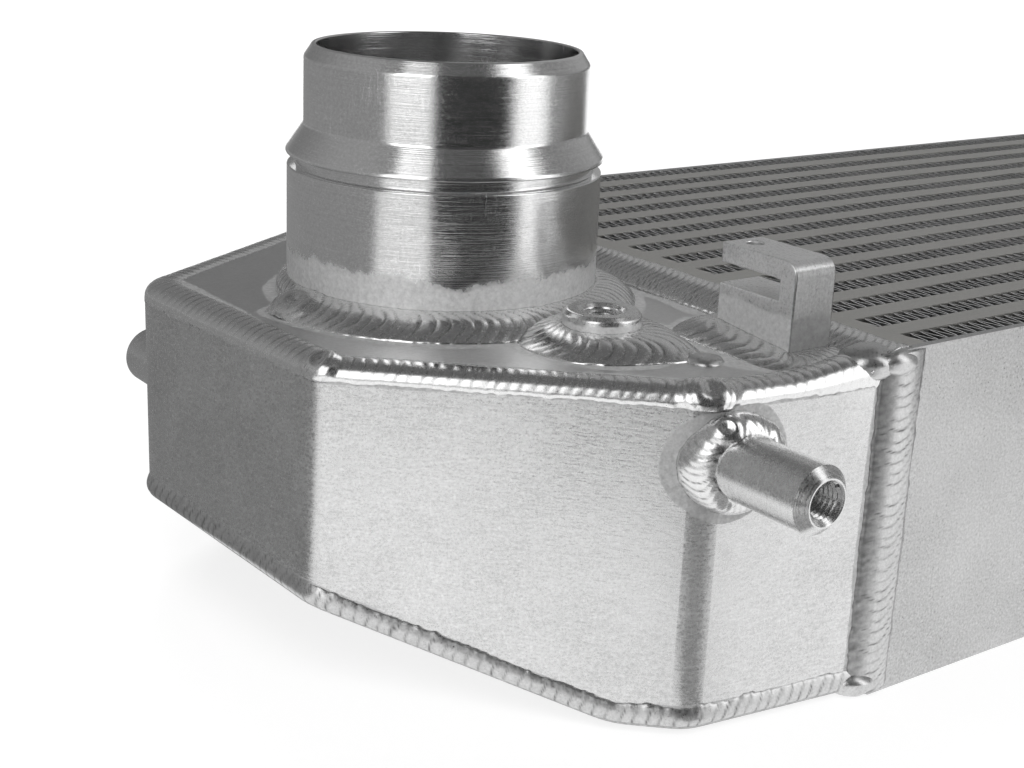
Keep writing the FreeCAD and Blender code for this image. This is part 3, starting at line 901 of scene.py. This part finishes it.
def scales(distance, t, width, crest_at, place, pitch, depth, lag, calm, seed):
    """Height of the crescents at one place in millimetres, and the painted shade of their creases from 0 to
    1.
    """
    across = 2 * t - 1
    wobble = smooth_noise(crest_at / MM, 0.35, seed + 5) * 0.25 + smooth_noise(place / MM, 0.5, seed) * 0.12
    scale = hump((distance + lag * across * across * width * 0.5) / pitch + wobble)
    strength = (1 + smooth_noise(crest_at / MM, 0.25, seed + 9) * 0.8) * min(1.0, 4 * t * (1 - t) * 2.2)
    strength *= 1 - calm * clamp(1.7 * t - 0.5)
    return (scale - 0.7) * depth * strength, (1 - scale) ** 4 * strength


def blob(height, crease, away, radius, rise, pitch, depth):
    """The same with a blob laid over it, at a distance from the blob's middle."""
    if away >= radius:
        return height, crease
    dome = math.cos(away / radius * math.pi / 2)
    ringed = hump(away / (pitch * 0.6))
    fade = min(1.0, dome * 2.5)
    crater = max(0.0, 1 - away / (radius * 0.4)) * rise
    height += (rise * dome ** 0.7 - crater + (ringed - 0.7) * depth * 0.6 - height) * fade
    # The blob's rings get the same painted shade in their creases.
    crease += ((1 - ringed) ** 4 * 0.7 - crease) * fade
    return height, crease


print("bead step:", round(station_step / MM, 2), "mm")

# %% [markdown]
# ## The bead tool
#
# The bead itself is a grid: one direction follows the joint, the other goes from toe to toe
# over the crown. Its section is a curve, either over one crest or rolled round two shoulders
# for an outside corner. The grid is bent to that shape, the scales push its points outwards,
# and a Solidify modifier gives it an underside.

# %% The bead tool
def on_sheet(point):
    """The nearest place on the tank's sheets, just under their skin."""
    place, normal, _, _ = sheets.find_nearest(point)
    return place - normal * sink


def inside_box(point):
    """A place kept above the floor and within the core's far side."""
    return Vector((point.x, min(point.y, cad_box[1][1] - sink), max(point.z, cad_box[0][2])))


def bead_section(a, b, c, shoulders, t):
    """A place on the curve from toe a to toe b, over a crest c or round two shoulders."""
    u = 1 - t
    if shoulders:
        first, second = shoulders
        return a * u ** 3 + first * (3 * u * u * t) + second * (3 * u * t * t) + b * t ** 3
    over = 2 * c - (a + b) / 2
    return a * u ** 2 + over * (2 * u * t) + b * t ** 2


def weld_bead(name, replaced, toe_a, toe_b, crest, shoulders=(), pitch=2.5, depth=0.25, lag=0.7,
              closed=False, blobs=(), seed=1, rows=12, mirrored=False, calm=0.0, toe_shade=0.0,
              finish=weld_metal):
    """A rippled bead between two toes.

    Sizes are in millimetres. A blob is (share of the length, radius, rise). calm says how
    far the ripples die away towards the second toe. A painted shadow of a given strength can
    lie along the first toe.
    """
    length = sum((b - a).length for a, b in zip(crest, crest[1:])) / MM
    columns = len(crest) - 1
    if closed:
        pitch = length / max(1, round(length / pitch))

    def stations(s):
        return [along_list(line, s) for line in (toe_a, toe_b, crest)]

    def bare(s, t):
        return bead_section(*stations(s), [along_list(line, s) for line in shoulders], t)

    bm = bmesh.new()
    bmesh.ops.create_grid(bm, x_segments=columns, y_segments=rows, size=0.5)
    dark = bm.verts.layers.float.new("painted_crease_shade")
    for vert in bm.verts:
        s, t = vert.co.x + 0.5, vert.co.y + 0.5
        a, b, c = stations(s)
        width = (a - b).length / MM
        place = bare(s, t)
        ahead = along_list(crest, min(1, s + 1 / columns)) - along_list(crest, max(0, s - 1 / columns))
        out = ahead.cross(bare(s, min(1, t + 0.05)) - bare(s, max(0, t - 0.05))).normalized()
        if out.dot(c - (a + b) / 2) < 0:
            out = -out
        distance = s * length
        height, crease = scales(distance, t, width, c, place, pitch, depth, lag, calm, seed)
        for where, radius, rise in blobs:
            away = math.hypot(distance - where * length, (2 * t - 1) * width / 2)
            height, crease = blob(height, crease, away, radius, rise, pitch, depth)
        streak = 0.75 + 0.5 * smooth_noise(place / MM, 0.9, seed + 2)
        # Painted shade: darkness for the creases between the ripples and for a streaky shadow along the first
        # toe, which the material reads.
        vert[dark] = clamp(max(crease, toe_shade * streak * max(0.0, 1 - (t / 0.42) ** 2)))
        ragged = smooth_noise(a / MM, 0.6, seed) * 0.3 + smooth_noise(a / MM, 0.15, seed + 3) * 0.4
        at_toe = (2 * t - 1) ** 8 * (1 if t < 0.5 else -1)
        vert.co = inside_box(place + out * (height * MM) + (a - b).normalized() * (ragged * MM * at_toe))
    for face in bm.faces:
        face.smooth = True
    mid_a, mid_b, mid_c = stations(0.5)
    middle_face = min(bm.faces, key=lambda f: (f.calc_center_median() - bare(0.5, 0.5)).length)
    middle_face.normal_update()
    if middle_face.normal.dot(mid_c - (mid_a + mid_b) / 2) < 0:
        bmesh.ops.reverse_faces(bm, faces=bm.faces)
    if closed:
        bmesh.ops.remove_doubles(bm, verts=bm.verts, dist=0.02 * MM)
    if mirrored:
        mirror_mesh(bm)
    obj = new_object(name, mesh_from(bm, name))
    under = obj.modifiers.new("underside", "SOLIDIFY")
    under.thickness = 0.3 * MM
    under.offset = -1
    return as_piece(obj, finish, replaced)


print("toes are sunk by", round(sink / MM, 2), "mm")

# %% [markdown]
# ## Blobs
#
# Where two runs meet, or where the arc was only struck, a lone blob of metal stays. It is a
# ball that is squashed, dented a little by noise and sunk halfway into the sheet.

# %% Blobs
def puddle(name, replaced, centre, half, seed, mirrored=False):
    """A lone blob of weld metal, with its centre and half sizes in millimetres."""
    bm = bmesh.new()
    bmesh.ops.create_uvsphere(bm, u_segments=32, v_segments=16, radius=1)
    for vert in bm.verts:
        dented = vert.co * (1 + 0.10 * smooth_noise(vert.co, 1.4, seed))
        vert.co = inside_box(Vector(a + b * c for a, b, c in zip(centre, half, dented)) * MM)
    for face in bm.faces:
        face.smooth = True
    if mirrored:
        mirror_mesh(bm)
    # Blobs take the darker weld, whose darker tone is painted shade.
    as_piece(new_object(name, mesh_from(bm, name)), rough_shaded_weld, replaced)


def core_corners(prefix, mirrored, seed):
    """The blobs that close the core's seam where its four runs meet."""
    end, top = core_end / MM, core_top / MM
    for side, inward in (("near", 1), ("far", -1)):
        y = core_near / MM * inward
        places = {"upper": ((end - 5.5, y + 6 * inward, top - 3.7), (7.0, 6.4, 4.3)),
                  "edge": ((end - 1.2, y + inward, top - 3.0), (5.4, 2.8, 3.1)),
                  "lower": ((end - 3.0, y + 3 * inward, 3.4), (6.0, 5.0, 3.4))}
        for place, (centre, half) in places.items():
            puddle("%s_core_%s_%s" % (prefix, side, place), prefix + "_core_seam", centre, half, seed,
                   mirrored)


spot_at = (core_end / MM - 36.4, core_near / MM + 25.3, lid_top / MM)
puddle("inlet_bracket_spot", "inlet_bracket_bead", spot_at, (4.4, 4.2, 1.5), 5)
core_corners("inlet", False, 61)
core_corners("outlet", True, 64)

# %% [markdown]
# ## Seams of the lid and the floor
#
# The lid lies on the bent wall, so its seam is an outside corner weld that rolls over the
# edge. It was laid in several runs, each ending at a bend with a blob. On the end face it
# lies wide and flat on the lid, and beside the bracket it is built up high. The floor's seam
# is a plain one from sheet to sheet.

# %% Seams of the lid and the floor
def edge_frames(path):
    """The outward level direction at each point of a path round a tank."""
    frames = []
    for i in range(len(path)):
        ahead = path[min(i + 2, len(path) - 1)] - path[max(i - 2, 0)]
        frames.append(Vector((ahead.y, -ahead.x, 0)).normalized())
    if frames[len(frames) // 2].x > 0:
        frames = [-out for out in frames]
    return frames


def bend_shares(path, turn=18):
    """Where a path bends, as shares of its length, from its near end to its far end."""
    window = round(5 * MM / station_step)
    groups = []
    for i in range(window, len(path) - window):
        angle = (path[i] - path[i - window]).angle(path[i + window] - path[i])
        if angle <= math.radians(turn):
            continue
        if groups and i - groups[-1][-1][0] < window:
            groups[-1].append((i, angle))
        else:
            groups.append([(i, angle)])
    return [max(group, key=lambda item: item[1])[0] / (len(path) - 1) for group in groups]


def top_seam(prefix, mirrored, seed):
    """The bead round the lid's edge, rolled from the lid down to the wall."""
    path = resample(lid_edge, station_step)
    toe_lid, toe_wall, crest, upper, lower = [], [], [], [], []
    for point, out in zip(path, edge_frames(path)):
        at_end = clamp((tank_end_x + 9 * MM - point.x) / (6 * MM))
        built_up = eased((30 - (point - path[0]).length / MM) / 28)
        lap = 7.6 + 1.2 * at_end + 5.5 * built_up
        drop = 4.1 + 0.7 * built_up
        high = 2.0 + 0.2 * at_end + 3.7 * built_up
        back = lap - 3.2 - 3.9 * built_up
        proud = 1.5 - 0.3 * at_end + 0.6 * built_up
        roll = 0.9 * at_end + 5.2 * built_up - 0.5
        toe_lid.append(on_sheet(point - out * (lap * MM)))
        toe_wall.append(on_sheet(point - UP * (drop * MM)))
        upper.append(point + (UP * high - out * back) * MM)
        lower.append(point + (out * proud + UP * roll) * MM)
        crest.append(point + (UP * 0.1 - out * 1.6) * MM)
    bends = bend_shares(path)
    weld_bead(prefix + "_top_seam_bead", prefix + "_top_seam", toe_lid, toe_wall, crest, (upper, lower),
              pitch=2.6, depth=0.15, lag=-0.5, blobs=[(bends[0], 8.0, 1.1), (bends[1], 6.0, 0.8)],
              seed=seed, mirrored=mirrored, rows=16, calm=0.9)
    return bends


def bottom_seam(prefix, mirrored, seed):
    """The bead round the floor's edge."""
    path = resample(floor_edge, station_step)
    lap, climb, proud, lift = 3.5, 5.6, 0.55, 1.0
    toe_floor, toe_wall, crest = [], [], []
    for point, out in zip(path, edge_frames(path)):
        toe_floor.append(on_sheet(point - out * (lap * MM)))
        toe_wall.append(on_sheet(point + UP * (climb * MM)))
        crest.append(point + (out * proud + UP * lift) * MM)
    # The floor's seam takes the darker weld, whose darker tone is painted shade.
    weld_bead(prefix + "_bottom_seam_bead", prefix + "_bottom_seam", toe_floor, toe_wall, crest, pitch=3.0,
              depth=0.035, seed=seed, mirrored=mirrored, finish=rough_shaded_weld)


for prefix, mirrored, seed in (("inlet", False, 1), ("outlet", True, 4)):
    bends = top_seam(prefix, mirrored, seed)
    bottom_seam(prefix, mirrored, seed + 20)
print("seam bends at shares:", [round(s, 3) for s in bends])

# %% [markdown]
# ## The core's seams
#
# Tank and core are joined by four straight runs. The one on the lid is bright. The others
# lie in the shade of the joint, so they are painted darker, with a painted shadow along
# their first toe.

# %% The core's seams
def core_seam(prefix, mirrored, seed):
    """The four runs round the joint of tank and core."""
    end, near, top, lid = (value / MM for value in (core_end, core_near, core_top, lid_top))

    def straight(*ends):
        return resample([Vector(place) * MM for place in ends], station_step)

    def across(x, z, inset):
        return straight((x, near + inset, z), (x, -near - inset, z))

    def upright(x, y, high):
        return straight((x, y, 1), (x, y, high))

    def up_side(side, high):
        return (upright(end - 6.8, side * (near + 1.3), high), upright(end + 6, side * near, high),
                upright(end - 0.5, side * (near - 0.8), high))

    runs = {
        "lid": (across(end - 9.3, lid, 1), across(end + 2.2, top, 1), across(end - 3.6, top - 0.2, 1)),
        "near": up_side(1, top - 0.5),
        "far": up_side(-1, top - 2),
        "floor": (across(end - 7, 2.2, 2), across(end + 0.2, 0.2, 2), across(end - 3.4, 0.2, 2)),
    }
    ripples = {"lid": (2.2, 0.2), "near": (2.6, 0.035), "far": (2.6, 0.035), "floor": (2.6, 0.25)}
    for run, lines in runs.items():
        pitch, depth = ripples[run]
        # Only the lid's run has the bright weld. The others get a darker tone and a shadow along their first
        # toe, both painted shade.
        bright = run == "lid"
        weld_bead(prefix + "_core_seam_" + run, prefix + "_core_seam", *lines, pitch=pitch, depth=depth,
                  lag=-0.8, seed=seed + len(run), mirrored=mirrored, toe_shade=0.0 if bright else 0.95,
                  finish=weld_metal if bright else rough_shaded_weld)


core_seam("inlet", False, 41)
core_seam("outlet", True, 44)

# %% [markdown]
# ## Fillets of the neck and the bung
#
# The neck and the bung stand on the lid and are welded round their feet. Each fillet is a
# ring between a toe on the lid and a toe up the fitting's side. The neck's narrows where it
# meets the core's seam and at the back. The bung's runs out to a point at the front.

# %% Fillets of the neck and the bung
def fillet_lines(places, bulge):
    """A fillet's two toes and its crest, which bulges out between them."""
    foot, side, crest = [], [], []
    for toe, top, lift in places:
        foot.append(toe)
        side.append(top)
        crest.append((toe + top) / 2 + lift.normalized() * (bulge * MM))
    return foot, side, crest


def ring_bead(name, replaced, centre, radius, reach, height, **bead):
    """A fillet on the lid round an upright fitting, with a reach for each direction."""
    steps = round(2 * math.pi * (radius + 3) * MM / station_step)
    places = []
    for step in range(steps + 1):
        angle = 2 * math.pi * step / steps
        out = Vector((math.cos(angle), math.sin(angle), 0))
        base = Vector((centre.x, centre.y, lid_top))
        toe = base + out * ((radius + reach(out)) * MM) - UP * sink
        top = base + out * (radius * MM - sink) + UP * (height * MM)
        places.append((toe, top, UP * reach(out) + out * height))
    lines = fillet_lines(places, bulge=1.1)
    weld_bead(name, replaced, *lines, closed=True, depth=0.17, rows=16, **bead)


def radius_at_foot(name, centre):
    """The radius in millimetres of a turned fitting where it stands on the lid."""
    foot = [v.co for v in nodes[name].data.vertices if v.co.z < lid_top + 0.5 * MM]
    return max(math.hypot(v.x - centre.x, v.y - centre.y) for v in foot) / MM


neck_radius = radius_at_foot("inlet_neck", neck_at)
bung_radius = (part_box("inlet_bung")[1][0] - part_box("inlet_bung")[0][0]) / 2 / MM
full_reach = 10.5
neck_start = (0.515, 7.5, 1.2)
bung_tail = Vector((0.45, -0.89, 0))


def neck_reach(out):
    """The neck fillet's reach, cut short by the core's seam and at the back."""
    room = (core_end - core_toe * MM - neck_at.x) / MM
    reach = full_reach - 8.0 * eased((out.y - 0.02) / 0.16)
    if out.x > 0.05:
        reach = min(reach, room / out.x - neck_radius)
    return max(2.0, reach)


def bung_reach(out):
    """The bung fillet's reach, drawn out to a point where the bead ran off."""
    return full_reach + 5.0 * max(0.0, out.dot(bung_tail)) ** 12


for prefix, mirrored, seed in (("inlet", False, 2), ("outlet", True, 6)):
    ring_bead(prefix + "_neck_fillet", prefix + "_neck_bead", neck_at, neck_radius, neck_reach, 4.8,
              pitch=2.9, seed=seed, mirrored=mirrored, blobs=[neck_start])
ring_bead("inlet_bung_fillet", "inlet_bung_bead", bung_at, bung_radius, bung_reach, 4.2, pitch=2.8, seed=8)
print("neck radius:", round(neck_radius, 2), "bung radius:", round(bung_radius, 2))

# %% [markdown]
# ## The bracket's fillet
#
# The bracket is cut from bar, so its fillet follows a rectangle with turned corners. It
# climbs higher at the back than at the front, where the lid's seam comes close.

# %% The bracket's fillet
def foot_ring(corner, turns=24, spread=40):
    """Places round the bracket's foot with the outward direction at each."""
    left, right = bracket_low.x + corner, bracket_high.x - corner
    front, back = bracket_low.y + corner, bracket_high.y - corner
    inner = [Vector((x, y, lid_top)) for x, y in ((left, front), (right, front), (right, back), (left, back))]
    ring = []
    for index, point in enumerate(inner):
        for step in range(turns + 1):
            angle = (index - 2 + step / turns) * math.pi / 2
            ring.append((point, Vector((math.cos(angle), math.sin(angle), 0))))
        out = ring[-1][1]
        for step in range(1, spread):
            ring.append((point.lerp(inner[(index + 1) % 4], step / spread), out))
    return ring + [ring[0]]


def bracket_fillet():
    """The fillet round the bracket's foot, a rounded rectangle."""
    corner = 0.6 * MM
    front, back = bracket_low.y + corner, bracket_high.y - corner
    places = []
    for point, out in foot_ring(corner):
        reach = 2.0 if out.x > 0.3 else full_reach
        climb = 1.5 + 2.2 * (point.y - front) / (back - front)
        toe = point + out * (corner + reach * MM) - UP * sink
        top = point + out * (corner - sink) + UP * (climb * MM)
        places.append((toe, top, UP * reach + out * 5))
    lines = fillet_lines(places, bulge=1)
    count = len(resample(lines[2], station_step)) - 1
    even = [[along_list(line, i / count) for i in range(count + 1)] for line in lines]
    weld_bead("inlet_bracket_fillet", "inlet_bracket_bead", *even, closed=True, pitch=2.8, depth=0.2,
              seed=12, rows=14)
    return count


print("bracket fillet stations:", bracket_fillet())

# %% [markdown]
# ## The pegs' fillets
#
# A peg stands on the bent wall, so its foot isn't flat. A ray towards the wall from each
# direction round the peg finds where the fillet's toes lie.

# %% The pegs' fillets
def peg_fillet(prefix, which, mirrored, seed):
    """The fillet between a peg and the bent wall."""
    low, high = corners("inlet_%s_peg" % which)
    axis = Vector((0, -1 if which == "near" else 1, 0))
    away = (low + high) / 2 + axis * (60 * MM)
    radius = (high.x - low.x) / 2
    reach, climb, below_lid = 4 * MM, 5 * MM, 4.5 * MM
    steps = round(2 * math.pi * (radius + 2 * MM) / station_step)
    places = []
    for step in range(steps + 1):
        angle = 2 * math.pi * step / steps
        out = Vector((math.cos(angle), 0, math.sin(angle)))
        start = away + out * (radius + reach)
        start.z = min(start.z, lid_top - below_lid)
        on_wall, normal, _, _ = sheets.ray_cast(start, -axis)
        at_peg = sheets.ray_cast(away + out * radius, -axis)[0]
        toe = on_wall - normal * sink
        top = at_peg + axis * climb - out * sink
        places.append((toe, top, axis * 4 + out * 5))
    lines = fillet_lines(places, bulge=1.4)
    weld_bead("%s_%s_peg_fillet" % (prefix, which), "%s_%s_peg_bead" % (prefix, which), *lines,
              closed=True, pitch=1.9, depth=0.11, seed=seed, rows=14, mirrored=mirrored,
              blobs=[(0.33, 4.5, 0.9), (0.09, 4.5, 0.6)])


for prefix, mirrored, seed in (("inlet", False, 30), ("outlet", True, 35)):
    for which in ("near", "far"):
        peg_fillet(prefix, which, mirrored, seed + len(which))

# %% [markdown]
# ## The cooling fins
#
# Each row between two tubes is one long strip folded to and fro. From above its cut edge
# shows as slanting lines, with a bright dot where each fold touches the sheet. The solid
# carries a few coarse folds. Here the strip has its real pitch, as a grid along the row
# whose points are pushed from side to side in a wave with flattened crests. Its faces are
# toned dark, partly as painted shade between the folds, and its cut edges lighter, as a
# painted highlight.

# %% The cooling fins
fin_pitch = 3.33 * MM
fin_drop = 0.25 * MM
fin_gauge = 0.22 * MM
fin_clearance = 0.12 * MM
row_count = 14
row_width = 7.4 * MM
points_a_wave = 8
crest_flatness = 1.32


def fin_strip(bm, low, high):
    """One folded strip in a row, between its lowest and its highest corner."""
    waves = round((high.x - low.x) / fin_pitch)
    made = bmesh.ops.create_grid(bm, x_segments=waves * points_a_wave, y_segments=1, size=0.5)
    half = (high.y - low.y) / 2 - fin_clearance
    for vert in made["verts"]:
        share, upper = vert.co.x + 0.5, vert.co.y > 0
        zigzag = 4 * abs(share * waves % 1.0 - 0.5) - 1
        push = max(-1.0, min(1.0, zigzag * crest_flatness))
        vert.co = Vector((low.x + share * (high.x - low.x), (low.y + high.y) / 2 + push * half,
                          high.z if upper else low.z))


fins_low, fins_high = corners("air_fins")
row_pitch = (fins_high.y - fins_low.y - row_width) / (row_count - 1)
fins = bmesh.new()
for row in range(row_count):
    y = fins_low.y + row * row_pitch
    fin_strip(fins, Vector((fins_low.x, y, fins_low.z)),
              Vector((fins_high.x, y + row_width, core_top - fin_drop)))
fin_object = new_object("cooling_fins", mesh_from(fins, "cooling_fins"))
gauge = fin_object.modifiers.new("gauge", "SOLIDIFY")
gauge.thickness = fin_gauge
gauge.offset = 0
gauge.material_offset_rim = 1
as_piece(fin_object, shaded_fin_metal, "air_fins")
# The cut edges take the lighter copy, a painted highlight.
fin_object.data.materials.append(fin_edge_highlight)
print("fin faces:", len(fin_object.data.polygons), "row pitch:", round(row_pitch / MM, 2))

# %% [markdown]
# ## Turned and cut pieces
#
# A lathe or a saw never leaves a perfectly sharp edge. A copy of each solid gets a fine
# rounding on its edges, which catches the light as a thin bright line.

# %% Turned and cut pieces
sharp = math.radians(28)


def dress(name, rounding, finish):
    """A copy of a solid with softly broken edges."""
    bm = merged_copy(name)
    for face in bm.faces:
        face.smooth = True
    for edge in bm.edges:
        edge.smooth = not edge.is_manifold or edge.calc_face_angle() < sharp
    obj = new_object(name + "_dressed", mesh_from(bm, name + "_dressed"))
    soft = obj.modifiers.new("edge_break", "BEVEL")
    soft.width = rounding * MM
    soft.segments = 2
    soft.limit_method = "ANGLE"
    soft.angle_limit = sharp
    as_piece(obj, finish, name)


for prefix in ("inlet", "outlet"):
    dress(prefix + "_neck", 0.3, turned_metal)
    for which in ("near", "far"):
        dress("%s_%s_peg" % (prefix, which), 0.25, peg_metal)
dress("inlet_bung", 0.25, bung_metal)
dress("inlet_bracket", 0.3, sawn_metal)

# %% [markdown]
# ## Threads
#
# Pegs and bung are tapped. In the solids their holes are plain, because a thread's fine
# facets would swamp them. One V ridge, spun up the bore along a helix, makes the thread.

# %% Threads
peg_bore, peg_pitch, peg_depth = 4.25, 1.25, 15.5
bung_bore, bung_pitch, bung_depth, bung_recess = 4.45, 1.0, 9.0, 0.9
steps_a_turn = 40


def thread(name, mouth, inward, bore, pitch, depth):
    """The V ridge of a tapped hole, from its mouth inwards, with sizes in millimetres."""
    bore, pitch, depth = bore * MM, pitch * MM, depth * MM
    sideways = inward.orthogonal().normalized()
    ridge = 0.42 * pitch
    start = mouth + inward * (pitch * 0.6)
    profile = ((bore, -0.46), (bore - ridge, -0.06), (bore - ridge, 0.06), (bore, 0.46))
    bm = bmesh.new()
    verts = [bm.verts.new(start + sideways * radius + inward * (pitch * share)) for radius, share in profile]
    edges = [bm.edges.new(pair) for pair in zip(verts, verts[1:])]
    turns = max(1, int(depth / pitch) - 1)
    bmesh.ops.spin(bm, geom=verts + edges, cent=mouth, axis=inward, dvec=inward * (pitch / steps_a_turn),
                   angle=2 * math.pi * turns, steps=turns * steps_a_turn, use_merge=False,
                   use_duplicate=False)
    bmesh.ops.recalc_face_normals(bm, faces=bm.faces)
    bm.faces.ensure_lookup_table()
    face = bm.faces[0]
    outward = face.calc_center_median() - mouth
    outward -= inward * outward.dot(inward)
    if face.normal.dot(outward) > 0:
        bmesh.ops.reverse_faces(bm, faces=bm.faces)
    as_piece(new_object(name, mesh_from(bm, name)), peg_metal)


for prefix in ("inlet", "outlet"):
    for which in ("near", "far"):
        low, high = corners("%s_%s_peg" % (prefix, which))
        inward = Vector((0, 1 if which == "near" else -1, 0))
        mouth = (low + high) / 2
        mouth.y = low.y if which == "near" else high.y
        thread("%s_%s_thread" % (prefix, which), mouth, inward, peg_bore, peg_pitch, peg_depth)
bung_top = Vector((bung_at.x, bung_at.y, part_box("inlet_bung")[1][2] - bung_recess * MM))
thread("inlet_bung_thread", bung_top, -UP, bung_bore, bung_pitch, bung_depth)

# %% [markdown]
# ## Finish
#
# The visual model has to stay inside the measured one's box. The visual model's box is
# worked out at the end.

# %% Finish
low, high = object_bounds()
